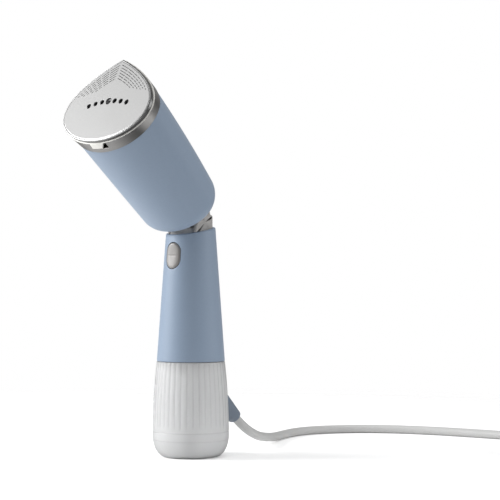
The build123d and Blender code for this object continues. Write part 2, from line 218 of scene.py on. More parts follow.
def superellipse(half_x: float, half_y: float, power: float, angles: Array) -> Array:
    """Points where the power-th powers of x / half_x and y / half_y add up to 1.

    Args:
        half_x: Half its width.
        half_y: Half its height.
        power: 2 is an ellipse, and more is nearer to a rectangle.
        angles: The directions of the points from the middle.

    Returns:
        The points.
    """
    c, s = np.cos(angles), np.sin(angles)
    reach = (np.abs(c / half_x) ** power + np.abs(s / half_y) ** power) ** (-1 / power)
    return np.stack([reach * c, reach * s], -1)


def slot_outline(half_wide: float, half_tall: float, angles: Array) -> Array:
    """Points of an upright slot, two half circles joined by straight sides, in given directions.

    Args:
        half_wide: The radius of its ends.
        half_tall: Half its height.
        angles: The directions of the points from the middle.

    Returns:
        The points.
    """
    c, s = np.cos(angles), np.sin(angles)
    middle = half_tall - half_wide
    side = half_wide / np.maximum(np.abs(c), 1e-9)
    end = middle * np.abs(s) + np.sqrt(np.maximum(half_wide**2 - (middle * c) ** 2, 0))
    reach = np.where(side * np.abs(s) <= middle, side, end)
    return np.stack([reach * c, reach * s], -1)


def pole(ring: Array) -> Array:
    """Returns a ring shrunk to its middle, as one more row for a grid of rings."""
    return np.broadcast_to(ring.mean(axis=0), (1, *ring.shape))


def rounded_prism(outline: Array, low: float, high: float, radius: float) -> Array:
    """A solid with one outline and rounded ends, as rings from one end's middle to the other's.

    Args:
        outline: Its outline, count by 2.
        low: The third coordinate of one end.
        high: The third coordinate of the other end.
        radius: The radius of its edges.

    Returns:
        Rings by count by 3, in the outline's frame.
    """
    inwards, down = edge_turn(radius)
    insets = np.concatenate([[radius * 2], inwards, inwards[::-1], [radius * 2]])
    heights = np.concatenate([[low], low + down, high - down[::-1], [high]])
    rings = inset(np.broadcast_to(outline, (len(insets), *outline.shape)), insets[:, None, None])
    flat = np.concatenate([pole(outline), rings, pole(outline)])
    depth = np.concatenate([[low], heights, [high]])
    return np.concatenate([flat, np.broadcast_to(depth[:, None, None], (*flat.shape[:2], 1))], -1)


def turned(profile: Array, count: int) -> Array:
    """Turns a profile about the Z axis.

    Args:
        profile: Radius and height pairs.
        count: How many columns.

    Returns:
        Rows by count by 3: each point is at its radius times the cosine and sine of its angle.
    """
    angles = around(count)[None, :]
    r, z = profile[:, :1], profile[:, 1:]
    return np.stack([r * np.cos(angles), r * np.sin(angles), z + 0 * angles], -1)


@dataclass(frozen=True)
class Lean:
    """A plane across the head: its x is X, and its normal leans forward by tilt from +Z."""

    tilt: float
    y: float
    z: float

    def place(self, local: Array) -> Array:
        """Takes points from this plane's frame to the steamer's frame.

        Args:
            local: Points in the plane's frame: across, up and out.

        Returns:
            The points in the steamer's frame.
        """
        a = math.radians(self.tilt)
        x, up, out = local[..., 0], local[..., 1], local[..., 2]
        y = self.y + up * math.cos(a) - out * math.sin(a)
        z = self.z + up * math.sin(a) + out * math.cos(a)
        return np.stack([x + 0 * y, y, z], -1)


@dataclass(frozen=True)
class Leaf:
    """The head's section: its upper half runs to a point as point nears 1, its lower half is round."""

    half: float
    top: float
    bottom: float
    point: float

    def at(self, share: Array, grow: float | Array = 0.0) -> Array:
        """Points along the outline, which is four cubic Bezier curves, one for each quarter turn.

        Args:
            share: 0 at the right, 1 at the top, 2 at the left, 3 at the bottom.
            grow: How much wider and taller it is on each side.

        Returns:
            The points: one more axis than share, of size 2.
        """
        k = 0.5523  # a quarter circle's control points lie this far along its sides
        soft = 1 - self.point
        lean_x, lean_y = 0.4286 * self.point + k * soft, 0.792 * self.point + soft
        upper = np.array([(1, 0), (1, 0.405 * self.point + k * soft), (lean_x, lean_y), (0, 1)])
        lower = np.array([(1, 0), (1, -k), (k, -1), (0, -1)])
        share = np.asarray(share, float) % 4
        quarter = np.floor(share).astype(int)
        t = share - quarter
        t = np.where(quarter % 2 == 1, 1 - t, t)[..., None]
        weights = [(1 - t) ** 3, 3 * t * (1 - t) ** 2, 3 * t**2 * (1 - t), t**3]
        above = sum(w * p for w, p in zip(weights, upper))
        below = sum(w * p for w, p in zip(weights, lower))
        unit = np.where((quarter < 2)[..., None], above, below)
        side = np.where((quarter == 1) | (quarter == 2), -1.0, 1.0)
        x = unit[..., 0] * side * (self.half + grow)
        y = unit[..., 1] * np.where(quarter < 2, self.top + grow, self.bottom + grow)
        return np.stack([x, y], -1)


def lift(flat: Array, depth: float | Array) -> Array:
    """Adds a third coordinate to points of a plane."""
    depth = np.broadcast_to(np.asarray(depth, float), flat.shape[:-1])
    return np.concatenate([flat, depth[..., None]], -1)


def fill(outline: Array, holes: Sequence[Array], depth: float) -> Patch:
    """Fills a flat outline with triangles, round its holes.

    Args:
        outline: The outer outline, count by 2.
        holes: The outlines of the holes.
        depth: The third coordinate of every point.

    Returns:
        The patch, in the outlines' frame.
    """
    loops = [outline, *holes]
    edges, start = [], 0
    for loop in loops:
        edges += [(start + i, start + (i + 1) % len(loop)) for i in range(len(loop))]
        start += len(loop)
    flat = [Vector(p) for p in np.concatenate(loops).tolist()]
    made = delaunay_2d_cdt(flat, edges, [list(range(len(outline)))], 1, 1e-7)
    corners = np.array([tuple(v) for v in made[0]])
    faces = np.array([f for f in made[2] if len(f) == 3])
    middles = corners[faces].mean(axis=1)
    keep = np.ones(len(faces), bool)
    for hole in holes:
        near = np.all(np.abs(middles - hole.mean(axis=0)) < np.ptp(hole, axis=0).max(), axis=1)
        keep[near] &= ~contains(hole, middles[near])
    return Patch(lift(corners, depth), faces[keep], flat=True)


def contains(outline: Array, spots: Array) -> Array:
    """Tells which spots lie in an outline, by counting the edges that a ray along +x crosses.

    Args:
        outline: A closed outline, count by 2.
        spots: The spots, count by 2.

    Returns:
        True for each spot inside.
    """
    a, b = outline[None], np.roll(outline, -1, axis=0)[None]
    x, y = spots[:, None, 0], spots[:, None, 1]
    across = (a[..., 1] > y) != (b[..., 1] > y)
    rise = np.where(across, b[..., 1] - a[..., 1], 1.0)
    meets = a[..., 0] + (y - a[..., 1]) * (b[..., 0] - a[..., 0]) / rise
    return (across & (x < meets)).sum(axis=1) % 2 == 1


# --- shader nodes --------------------------------------------------------------------------------
class Wiring:
    """A node tree under construction."""

    def __init__(self, tree: Tree) -> None:
        """Starts from an emptied tree."""
        self.tree = tree
        self.tree.nodes.clear()

    def node(self, kind: str, **settings: object) -> bpy.types.Node:
        """Adds a node.

        Args:
            kind: The node's type, without the words ShaderNode.
            **settings: Its properties.

        Returns:
            The node.
        """
        made = self.tree.nodes.new(kind if kind.startswith("Node") else "ShaderNode" + kind)
        for key, value in settings.items():
            setattr(made, key, value)
        return made

    def join(self, source: Socket, target: Socket) -> None:
        """Links two sockets."""
        self.tree.links.new(source, target)

    def put(self, node: bpy.types.Node, socket: str | int, value: object) -> None:
        """Links a socket, or sets it where the value is no socket.

        Args:
            node: The node.
            socket: The name or the number of its input.
            value: A socket or a plain value.
        """
        if isinstance(value, Socket):
            self.join(value, node.inputs[socket])
        else:
            node.inputs[socket].default_value = value

    def sums(self, operation: str, a: object, b: object = 0.0, clamp: bool = False) -> Socket:
        """Adds a Math node.

        Args:
            operation: The node's operation.
            a: The first input.
            b: The second input.
            clamp: Whether the value is kept between 0 and 1.

        Returns:
            The socket of the value.
        """
        made = self.node("Math", operation=operation, use_clamp=clamp)
        self.put(made, 0, a)
        self.put(made, 1, b)
        return made.outputs[0]

    def noise(self, vector: object, scale: float, detail: float = 2.0) -> Socket:
        """Adds a Noise Texture, whose value is 0 to 1.

        Args:
            vector: Where it is read.
            scale: How fine it is.
            detail: How many finer layers it has.

        Returns:
            The socket of the value.
        """
        made = self.node("TexNoise")
        self.put(made, "Vector", vector)
        self.put(made, "Scale", scale)
        self.put(made, "Detail", detail)
        return made.outputs["Fac"]

    def blend(self, share: object, a: object, b: object) -> Socket:
        """Adds a colour Mix node: a at share 0, b at share 1.

        Args:
            share: How much of b there is.
            a: The first colour.
            b: The second colour.

        Returns:
            The socket of the colour.
        """
        made = self.node("Mix", data_type="RGBA")
        self.put(made, 0, share)
        self.put(made, 6, a)
        self.put(made, 7, b)
        return made.outputs[2]

    def ramp(self, value: object, low: float, high: float, to_low: float, to_high: float) -> Socket:
        """Adds a Map Range node.

        Args:
            value: The input.
            low: The input that gives to_low.
            high: The input that gives to_high.
            to_low: The output at low.
            to_high: The output at high.

        Returns:
            The socket of the value.
        """
        made = self.node("MapRange")
        for socket, number in enumerate((value, low, high, to_low, to_high)):
            self.put(made, socket, number)
        return made.outputs[0]


def new_group(
    name: str, inputs: dict[str, tuple[str, float]], outputs: dict[str, str]
) -> tuple[Wiring, dict[str, Socket], dict[str, Socket]]:
    """Starts a shader node group.

    Args:
        name: The group's name.
        inputs: For each input its kind, Float or Vector, and the value that it starts with.
        outputs: For each output its kind.

    Returns:
        Its wiring, its input sockets and its output sockets.
    """
    tree = bpy.data.node_groups.new(name, "ShaderNodeTree")
    for key, (kind, start) in inputs.items():
        socket = tree.interface.new_socket(name=key, in_out="INPUT", socket_type="NodeSocket" + kind)
        if kind == "Float":
            socket.default_value = start
    for key, kind in outputs.items():
        tree.interface.new_socket(name=key, in_out="OUTPUT", socket_type="NodeSocket" + kind)
    wiring = Wiring(tree)
    entry, result = wiring.node("NodeGroupInput"), wiring.node("NodeGroupOutput")
    return wiring, {k: entry.outputs[k] for k in inputs}, {k: result.inputs[k] for k in outputs}


class Effects:
    """The effects that several finishes share, each a node group that is built once."""

    def __init__(self) -> None:
        """Builds the groups."""
        self.grain = self._grain()
        self.wear = self._wear()
        self.brushing = self._brushing()
        self.handling = self._handling()

    @staticmethod
    def _grain() -> Tree:
        """A spark-eroded mould's texture: fine noise with a coarser one under it, as a normal.

        Returns:
            The group.
        """
        w, given, made = new_group(
            "mould_grain",
            {"Vector": ("Vector", 0), "Scale": ("Float", 2600.0), "Depth": ("Float", 0.2)},
            {"Normal": "Vector", "Shade": "Float"},
        )
        fine = w.noise(given["Vector"], given["Scale"], 3.0)
        coarse = w.noise(given["Vector"], w.sums("MULTIPLY", given["Scale"], 0.22), 2.0)
        height = w.sums("ADD", w.sums("MULTIPLY", fine, 0.7), w.sums("MULTIPLY", coarse, 0.3))
        bump = w.node("Bump")
        w.put(bump, "Strength", given["Depth"])
        w.put(bump, "Distance", 0.00006)
        w.put(bump, "Height", height)
        w.join(bump.outputs[0], made["Normal"])
        w.join(height, made["Shade"])
        return w.tree

    @staticmethod
    def _wear() -> Tree:
        """Where edges are rubbed: the surface's pointiness past a limit, broken up by noise.

        Returns:
            The group.
        """
        w, given, made = new_group(
            "edge_wear", {"Vector": ("Vector", 0), "Amount": ("Float", 0.5)}, {"Mask": "Float"}
        )
        sharp = w.ramp(w.node("NewGeometry").outputs["Pointiness"], 0.515, 0.60, 0.0, 1.0)
        patchy = w.ramp(w.noise(given["Vector"], 420.0, 4.0), 0.42, 0.66, 0.25, 1.0)
        w.join(w.sums("MULTIPLY", w.sums("MULTIPLY", sharp, patchy), given["Amount"], True), made["Mask"])
        return w.tree

    @staticmethod
    def _brushing() -> Tree:
        """Fine lines at right angles to the vector's Z, from noise that is stretched the other way.

        Returns:
            The group.
        """
        w, given, made = new_group(
            "brushed_lines",
            {"Vector": ("Vector", 0), "Fineness": ("Float", 9000.0), "Depth": ("Float", 0.3)},
            {"Normal": "Vector", "Shade": "Float"},
        )
        split = w.node("SeparateXYZ")
        w.join(given["Vector"], split.inputs[0])
        lines = w.node("CombineXYZ")
        for axis in range(2):
            w.put(lines, axis, w.sums("MULTIPLY", split.outputs[axis], 60.0))
        w.put(lines, 2, w.sums("MULTIPLY", split.outputs[2], given["Fineness"]))
        shade = w.noise(lines.outputs[0], 1.0, 3.0)
        bump = w.node("Bump")
        w.put(bump, "Strength", given["Depth"])
        w.put(bump, "Distance", 0.00004)
        w.put(bump, "Height", shade)
        w.join(bump.outputs[0], made["Normal"])
        w.join(shade, made["Shade"])
        return w.tree

    @staticmethod
    def _handling() -> Tree:
        """Soft uneven patches, from hands and moulding, 0 to 1.

        Returns:
            The group.
        """
        w, given, made = new_group(
            "soft_patches", {"Vector": ("Vector", 0), "Scale": ("Float", 60.0)}, {"Mask": "Float"}
        )
        broad = w.noise(given["Vector"], given["Scale"], 3.0)
        w.join(w.ramp(broad, 0.3, 0.7, 0.0, 1.0), made["Mask"])
        return w.tree


effects = Effects()


@dataclass
class Surface(Wiring):
    """A material with its Principled shader, object coordinates and the shared effects at hand."""

    name: str

    def __post_init__(self) -> None:
        """Makes the material and its fixed nodes."""
        self.material = bpy.data.materials.new(self.name)
        self.material.use_nodes = True
        super().__init__(self.material.node_tree)
        self.shader = self.node("BsdfPrincipled")
        self.join(self.shader.outputs[0], self.node("OutputMaterial").inputs["Surface"])
        self.place = self.node("TexCoord").outputs["Object"]

    def effect(self, group: Tree, **values: object) -> bpy.types.Node:
        """Adds one of the shared effects, read at the object's own place unless told otherwise.

        Args:
            group: The effect.
            **values: Its inputs.

        Returns:
            The group node.
        """
        made = self.node("Group")
        made.node_tree = group
        self.put(made, "Vector", values.pop("Vector", self.place))
        for key, value in values.items():
            self.put(made, key, value)
        return made

    def set(self, **values: object) -> None:
        """Sets the shader's sockets; an underscore in a name stands for a space."""
        for key, value in values.items():
            self.put(self.shader, key.replace("_", " "), value)


def rgba(colour: Colour, light: float = 1.0) -> tuple[float, float, float, float]:
    """Returns a colour, made lighter or darker, with a full alpha."""
    return (*[min(1.0, c * light) for c in colour], 1.0)


@dataclass(frozen=True)
class Moulded:
    """Moulded plastic with a fine mould texture, patches from handling and rubbed edges."""

    name: str
    colour: Colour
    roughness: float = 0.45
    grain: float = 2600.0
    depth: float = 0.35
    patches: float = 0.05
    worn: float = 0.25
    specular: float = 0.4
    sheen: float = 0.0
    see_through: float = 0.0

    def material(self) -> Material:
        """Builds the material.

        Returns:
            The material.
        """
        s = Surface(self.name)
        grain = s.effect(effects.grain, Scale=self.grain, Depth=self.depth)
        patch = s.effect(effects.handling).outputs["Mask"]
        low, high = rgba(self.colour, 1 - self.patches), rgba(self.colour, 1 + self.patches)
        speckled = s.blend(s.ramp(grain.outputs["Shade"], 0.3, 0.7, 0.0, 1.0), low, high)
        toned = s.blend(s.sums("MULTIPLY", patch, 0.4), speckled, rgba(self.colour))
        wear = s.effect(effects.wear, Amount=self.worn).outputs["Mask"]
        s.set(Base_Color=s.blend(wear, toned, rgba(self.colour, 1.35)))
        s.set(Roughness=s.ramp(patch, 0.0, 1.0, self.roughness + 0.04, self.roughness - 0.04))
        s.set(Normal=grain.outputs["Normal"], Specular_IOR_Level=self.specular)
        s.set(Sheen_Weight=self.sheen, Sheen_Roughness=0.4, Transmission_Weight=self.see_through)
        return s.material


@dataclass(frozen=True)
class Metal:
    """Bare metal: cast, turned or brushed, with lines across an axis that may lean in the YZ plane.

    A ring of brushed metal may have painted reflections round its middle, a Y and a Z in metres: light and
    dark banding of the studio's reflections, painted into its colour. A band is a share of the turn from its
    left side, over its lower side, and how light the painted reflection is there.
    """

    name: str
    colour: Colour
    roughness: float = 0.28
    lines: float = 0.3
    fineness: float = 7000.0
    lean: float = 0.0
    metallic: float = 1.0
    spread: float = 0.06
    middle: tuple[float, float] = (0.0, 0.0)
    painted_reflections: PaintedReflectionBands = ()

    def paint_reflections(self, s: Surface, turned_place: object, colour: object) -> Socket:
        """Multiplies a colour by the painted reflections: a colour ramp of light and dark over the angle
        round the middle.

        Args:
            s: The material's surface.
            turned_place: The place, turned by the lean.
            colour: The colour.

        Returns:
            The socket of the colour with its painted reflections.
        """
        a = math.radians(self.lean)
        across = s.node("SeparateXYZ")
        s.join(turned_place, across.inputs[0])
        up = self.middle[0] * math.cos(a) + self.middle[1] * math.sin(a)
        angle = s.sums("ARCTAN2", s.sums("SUBTRACT", across.outputs[1], up), across.outputs[0])
        ramp = s.node("ValToRGB")
        ramp.color_ramp.interpolation = "B_SPLINE"
        stops = ramp.color_ramp.elements
        while len(stops) < len(self.painted_reflections):
            stops.new(1.0)
        for stop, (share, light) in zip(stops, self.painted_reflections):
            stop.position, stop.color = share, (light, light, light, 1.0)
        s.join(s.ramp(angle, -math.pi, math.pi, 0.0, 1.0), ramp.inputs[0])
        mixed = s.node("Mix", data_type="RGBA", blend_type="MULTIPLY")
        mixed.inputs[0].default_value = 1.0
        s.join(colour, mixed.inputs[6])
        s.join(ramp.outputs[0], mixed.inputs[7])
        return mixed.outputs[2]

    def material(self) -> Material:
        """Builds the material.

        Returns:
            The material.
        """
        s = Surface(self.name)
        turn = s.node("Mapping", vector_type="POINT")
        s.join(s.place, turn.inputs["Vector"])
        turn.inputs["Rotation"].default_value = (math.radians(-self.lean), 0, 0)
        lines = s.effect(effects.brushing, Vector=turn.outputs[0], Fineness=self.fineness, Depth=self.lines)
        patch = s.effect(effects.handling, Scale=90.0).outputs["Mask"]
        dark, light = rgba(self.colour, 1 - self.spread), rgba(self.colour, 1 + self.spread)
        colour = s.blend(lines.outputs["Shade"], dark, light)
        # painted reflections: the studio's light and dark banding multiplied into the colour
        if self.painted_reflections:
            colour = self.paint_reflections(s, turn.outputs[0], colour)
        fine = s.ramp(lines.outputs["Shade"], 0.3, 0.7, self.roughness - 0.04, self.roughness + 0.04)
        s.set(Base_Color=colour, Metallic=self.metallic)
        s.set(Roughness=s.sums("ADD", s.sums("MULTIPLY", patch, 0.05), fine), Normal=lines.outputs["Normal"])
        return s.material


# --- finishes of this steamer --------------------------------------------------------------------
PLATE_TILT = 65.19  # how far the steam plate leans forward from level, in degrees
HEAD_MIDDLE = (-0.0926, 0.2716)  # the middle of the head's ring, round which its painted reflections turn
# Painted reflections of the studio on the collar, the plate's side and its rim: shares of the turn round the
# head's middle and how light each is painted
COLLAR_PAINTED_REFLECTIONS = (
    (0.0, 0.65), (0.11, 0.75), (0.16, 0.62), (0.22, 0.46), (0.315, 0.47), (0.352, 0.34),
    (0.381, 0.23), (0.413, 0.11), (0.432, 0.19), (0.456, 0.84), (0.475, 1.0), (0.500, 0.34),
    (0.515, 0.38), (0.545, 1.0), (0.61, 0.9), (0.70, 0.5), (0.82, 0.8), (1.0, 0.65),
)
SIDE_PAINTED_REFLECTIONS = (
    (0.0, 0.4), (0.15, 0.30), (0.22, 0.38), (0.28, 0.32), (0.33, 0.16), (0.38, 0.13),
    (0.41, 0.12), (0.435, 0.10), (0.47, 0.20), (0.52, 0.42), (0.58, 0.15), (0.64, 0.4),
    (0.72, 0.25), (0.85, 0.5), (1.0, 0.5),
)
RIM_PAINTED_REFLECTIONS = (
    (0.0, 0.9), (0.20, 0.95), (0.32, 1.0), (0.40, 0.85), (0.48, 0.45), (0.56, 0.30),
    (0.66, 0.26), (0.74, 0.30), (0.80, 0.6), (1.0, 0.9),
)


def ring_metal(name: str, colour: Colour, roughness: float, lines: float, painted_reflections: PaintedReflectionBands) -> Metal:
    """Returns a metal with lines across the plate's normal and painted reflections round the head's middle.
    """
    return Metal(name, colour, roughness, lines, lean=PLATE_TILT, middle=HEAD_MIDDLE, painted_reflections=painted_reflections)


class Finish(Enum):
    """Every finish on the steamer."""

    CASING = Moulded("casing_blue", (0.262, 0.335, 0.440), 0.50, worn=0.2, sheen=0.15)
    SPINE = Moulded("spine_blue", (0.170, 0.207, 0.262), 0.46, worn=0.25)
    NECK = Moulded("neck_grey", (0.40, 0.388, 0.375), 0.42, worn=0.3)
    # a lighter copy of the neck's grey: painted light on the neck's cap, which lies in the head's shadow
    NECK_PAINTED_LIGHT = Moulded("bowl_grey", (0.62, 0.605, 0.59), 0.42, worn=0.3)
    BUTTON = Moulded("button_grey", (0.262, 0.25, 0.24), 0.36, grain=3200.0, depth=0.2)
    SEAL = Moulded("seal_white", (0.83, 0.82, 0.78), 0.42, grain=1800.0, depth=0.15, patches=0.03)
    CORD = Moulded("cord_grey", (0.54, 0.54, 0.535), 0.42, grain=1500.0, depth=0.25, worn=0.0)
    PLUG = Moulded("plug_grey", (0.50, 0.50, 0.495), 0.40, worn=0.3)
    TIE = Moulded("tie_dark", (0.020, 0.020, 0.023), 0.55, grain=900.0, depth=0.5, worn=0.1)
    FRAME = Moulded("frame_plastic", (0.52, 0.52, 0.50), 0.45, depth=0.2)
    BLACK = Moulded("switch_black", (0.016, 0.016, 0.018), 0.35)
    BOARD = Moulded("board_green", (0.020, 0.10, 0.045), 0.3, grain=700.0, depth=0.1, patches=0.15)
    SILICONE = Moulded("tube_silicone", (0.74, 0.74, 0.72), 0.35, depth=0.1, see_through=0.35)
    FILTER = Moulded("filter_grey", (0.20, 0.20, 0.21), 0.75, grain=1100.0, depth=1.0, patches=0.2)
    WIRE = Moulded("wire_brown", (0.12, 0.055, 0.03), 0.35, depth=0.1)
    # near-black, darker than the nozzle's own grey: painted shade in the nozzle and on the steam holes'
    # walls
    NOZZLE_PAINTED_SHADE = Moulded("nozzle_grey", (0.045, 0.045, 0.048), 0.35, depth=0.2)
    # the collar, the plate's side and its rim carry painted reflections
    COLLAR = ring_metal("collar_metal", (0.56, 0.55, 0.54), 0.30, 0.35, COLLAR_PAINTED_REFLECTIONS)
    SIDE = ring_metal("side_metal", (0.52, 0.52, 0.52), 0.26, 0.15, SIDE_PAINTED_REFLECTIONS)
    RIM = ring_metal("rim_metal", (0.39, 0.39, 0.39), 0.40, 0.08, RIM_PAINTED_REFLECTIONS)
    ENGRAVED = Moulded("engraved_grey", (0.05, 0.05, 0.05), 0.50, worn=0.0)
    BRIGHT = Metal("pin_metal", (0.62, 0.60, 0.55), 0.18, lines=0.12)
    CAST = Metal("boiler_metal", (0.52, 0.52, 0.53), 0.42, lines=0.5, fineness=1200.0, spread=0.12)
    COPPER = Metal("coil_copper", (0.62, 0.27, 0.12), 0.30, lines=0.8, fineness=2600.0, spread=0.25)


@dataclass(frozen=True)
class PlateCoat:
    """The steam plate's satin coat: a ceramic-like film over aluminium, with fine metal flakes."""

    name: str = "plate_metal"
    colour: Colour = (0.405, 0.405, 0.403)
    roughness: float = 0.48

    def material(self) -> Material:
        """Builds the material.

        Returns:
            The material.
        """
        s = Surface(self.name)
        grain = s.effect(effects.grain, Scale=3800.0, Depth=0.15)
        flakes = s.ramp(s.noise(s.place, 5200.0, 0.0), 0.60, 0.72, 0.0, 0.5)
        patch = s.effect(effects.handling, Scale=45.0).outputs["Mask"]
        s.set(Base_Color=s.blend(flakes, rgba(self.colour), rgba(self.colour, 1.2)), Metallic=0.12)
        s.set(Roughness=s.ramp(patch, 0.0, 1.0, self.roughness + 0.05, self.roughness - 0.05))
        s.set(Normal=grain.outputs["Normal"], Specular_IOR_Level=0.3)
        return s.material


@dataclass(frozen=True)
class FrostedTank:
    """Frosted translucent plastic: milky in patches, with painted shade in its flutes' grooves and at
    grazing angles.
    """

    name: str = "tank_plastic"
    colour: Colour = (0.95, 0.955, 0.96)
    roughness: float = 0.36
    see_through: float = 0.55

    def material(self) -> Material:
        """Builds the material.

        Returns:
            The material.
        """
        s = Surface(self.name)
        grain = s.effect(effects.grain, Scale=2200.0, Depth=0.18)
        patch = s.effect(effects.handling, Scale=35.0).outputs["Mask"]
        milky = s.blend(patch, rgba(self.colour, 0.97), rgba(self.colour, 1.02))
        # painted shade: the flutes' grooves, found by pointiness, are darkened in the colour
        hollow = s.ramp(s.node("NewGeometry").outputs["Pointiness"], 0.46, 0.497, 0.45, 0.0)
        with_painted_groove_shade = s.blend(hollow, milky, rgba(self.colour, 0.45))
        # painted shade: the colour darkens where the surface turns away from the view
        painted_edge_shade = s.ramp(s.node("LayerWeight").outputs["Facing"], 0.50, 1.0, 0.0, 0.75)
        s.set(Base_Color=s.blend(painted_edge_shade, with_painted_groove_shade, rgba(self.colour, 0.4)))
        s.set(Roughness=s.ramp(patch, 0.0, 1.0, self.roughness + 0.05, self.roughness - 0.05))
        s.set(Normal=grain.outputs["Normal"], Transmission_Weight=self.see_through, IOR=1.49)
        s.set(Subsurface_Weight=0.35, Subsurface_Radius=(0.004, 0.004, 0.004), Subsurface_Scale=1.0)
        return s.material


made_finishes: dict[str, Material] = {}


def finish(kind: Finish | PlateCoat | FrostedTank) -> Material:
    """Gives a finish's material, which is built the first time it is asked for.

    Args:
        kind: The finish.

    Returns:
        Its material.
    """
    recipe = kind.value if isinstance(kind, Finish) else kind
    if recipe.name not in made_finishes:
        made_finishes[recipe.name] = recipe.material()
    return made_finishes[recipe.name]


# --- the mains lead ------------------------------------------------------------------------------
@dataclass
class Lead:
    """The mains lead: loose from the gland, then a coil of turns in two layers, a tie and a plug."""

    diameter: float = 7.5
    coil_x: float = 214.0
    coil_y: float = 226.0
    floor_gap: float = 1.2
    mid_radius: float = 41.25
    points_a_turn: int = 24
    layer_turns: int = 3
    shift_share: float = 0.2  # the last part of each turn moves across to the next
    tie_angle: float = 265.0
    length: float = 2.12

    # the lead's route in the frame, with a softer first bend
    route: tuple[tuple[float, float, float], ...] = (
        (0.0, 52.3, 27.6),
        (0.0, 63.2, 18.4),
        (-3.0, 82.5, 10.2),
        (-12.5, 104.0, 6.8),
        (-23.0, 126.5, 4.6),
        (-33.5, 147.5, 3.75),
        (-41.5, 169.0, 3.75),
        (-45.0, 190.0, 3.75),
        (-42.0, 210.0, 3.75),
        (-31.5, 230.5, 3.75),
        (-14.0, 249.0, 3.75),
        (10.5, 264.0, 3.75),
        (38.0, 272.5, 3.75),
        (67.0, 277.0, 3.75),
        (97.0, 279.5, 3.75),
        (127.5, 280.5, 3.75),
        (157.5, 279.8, 4.0),
        (186.5, 277.6, 4.5),
        (214.0, 274.75, 4.95),
    )

    def coil_points(self) -> Array:
        """Works out the coil's turns, clockwise from above.

        The radius steps by one diameter over the last part of each turn: inwards on the lower layer,
        outwards on the upper one. The height steps up once, between the layers.

        Returns:
            The points after the route's last one, in millimetres.
        """
        turns = 2 * self.layer_turns + 0.25
        turn = np.arange(1, round(turns * self.points_a_turn) + 1) / self.points_a_turn
        whole = np.floor(turn)
        ease = np.clip((turn - whole - 1 + self.shift_share) / self.shift_share, 0, 1)
        step = whole + ease * ease * (3 - 2 * ease)
        last = self.layer_turns - 1
        outer = self.mid_radius + self.diameter
        inwards = outer - self.diameter * np.clip(step, 0, last)
        outwards = outer - self.diameter * np.clip(2 * last + 1 - step, 0, last)
        radius = np.where(step <= self.layer_turns, inwards, outwards)
        rise = np.clip(step - last, 0, 1)
        angle = math.pi / 2 - turn * 2 * math.pi
        x = self.coil_x + radius * np.cos(angle)
        y = self.coil_y + radius * np.sin(angle)
        z = self.floor_gap + self.diameter * (0.5 + rise)
        return np.stack([x, y, z], -1)

    def tail_points(self, plug_low: Array, plug_high: Array) -> Array:
        """Works out the points from the coil into the boot of the plug, whose pins point along -Y.

        Args:
            plug_low: The plug's lowest corner.
            plug_high: The plug's highest corner.

        Returns:
            The points, in millimetres.
        """
        x, _, z = (plug_low + plug_high) / 2
        steps = np.array([(24.0, 12.6), (14.0, 14.6), (6.0, z - 0.4), (-2.0, z), (-9.0, z)])
        return np.stack([np.full(len(steps), x), plug_high[1] + steps[:, 0], steps[:, 1]], -1)

    def cord(self) -> Piece:
        """Makes the cord: one smooth spline with a round section.

        Returns:
            The piece.
        """
        points = np.concatenate([self.route, self.coil_points(), self.tail_points(*span("plug_body"))]) * MM
        curve = bpy.data.curves.new("mains_cord", "CURVE")
        curve.dimensions = "3D"
        curve.bevel_depth = self.diameter * MM / 2
        curve.bevel_resolution = 6
        curve.use_fill_caps = True
        curve.resolution_u = curve.render_resolution_u = 8
        spline = curve.splines.new("NURBS")
        spline.points.add(len(points) - 1)
        spline.points.foreach_set("co", np.hstack([points, np.ones((len(points), 1))]).ravel())
        spline.order_u = 3
        spline.use_endpoint_u = True
        curve.materials.append(finish(Finish.CORD))
        piece = bpy.data.objects.new("mains_cord", curve)
        bpy.context.scene.collection.objects.link(piece)
        return stand_for(piece, "handle", "cord_grey", "cord_lead", "cord_coil", "cord_tail")

    def tie(self) -> Piece:
        """Makes the strap round the coil: a flat band on a rounded loop, with its free end tucked on.

        Returns:
            The piece.
        """
        half_wide, half_tall, thick, wide, count = 12.35, 8.1, 1.1, 9.0, 96
        loop = superellipse(half_wide, half_tall, 6.0, around(count))
        tongue = np.interp(np.arange(count) / count, [0.10, 0.13, 0.32, 0.34], [0, 0.5, 0.5, 0])
        across = np.array([-0.5, -0.46, 0.46, 0.5, 0.5, 0.46, -0.46, -0.5]) * wide
        deep = np.array([0.2, 0.0, 0.0, 0.2, 0.8, 1.0, 1.0, 0.8])
        rings = np.stack([inset(loop, (d * thick - thick / 2 - tongue * (1 - d))[:, None]) for d in deep])
        a = math.radians(self.tie_angle)
        out, side = np.array([math.cos(a), math.sin(a)]), np.array([-math.sin(a), math.cos(a)])
        reach = self.mid_radius + rings[..., 0]
        plan = reach[..., None] * out + across[:, None, None] * side + (self.coil_x, self.coil_y)
        points = lift(plan, rings[..., 1] + self.floor_gap + self.diameter)
        piece = make_piece("coil_strap", [grid(points, rows_close=True)], [finish(Finish.TIE)])
        return stand_for(piece, "handle", "tie_dark", "coil_tie")

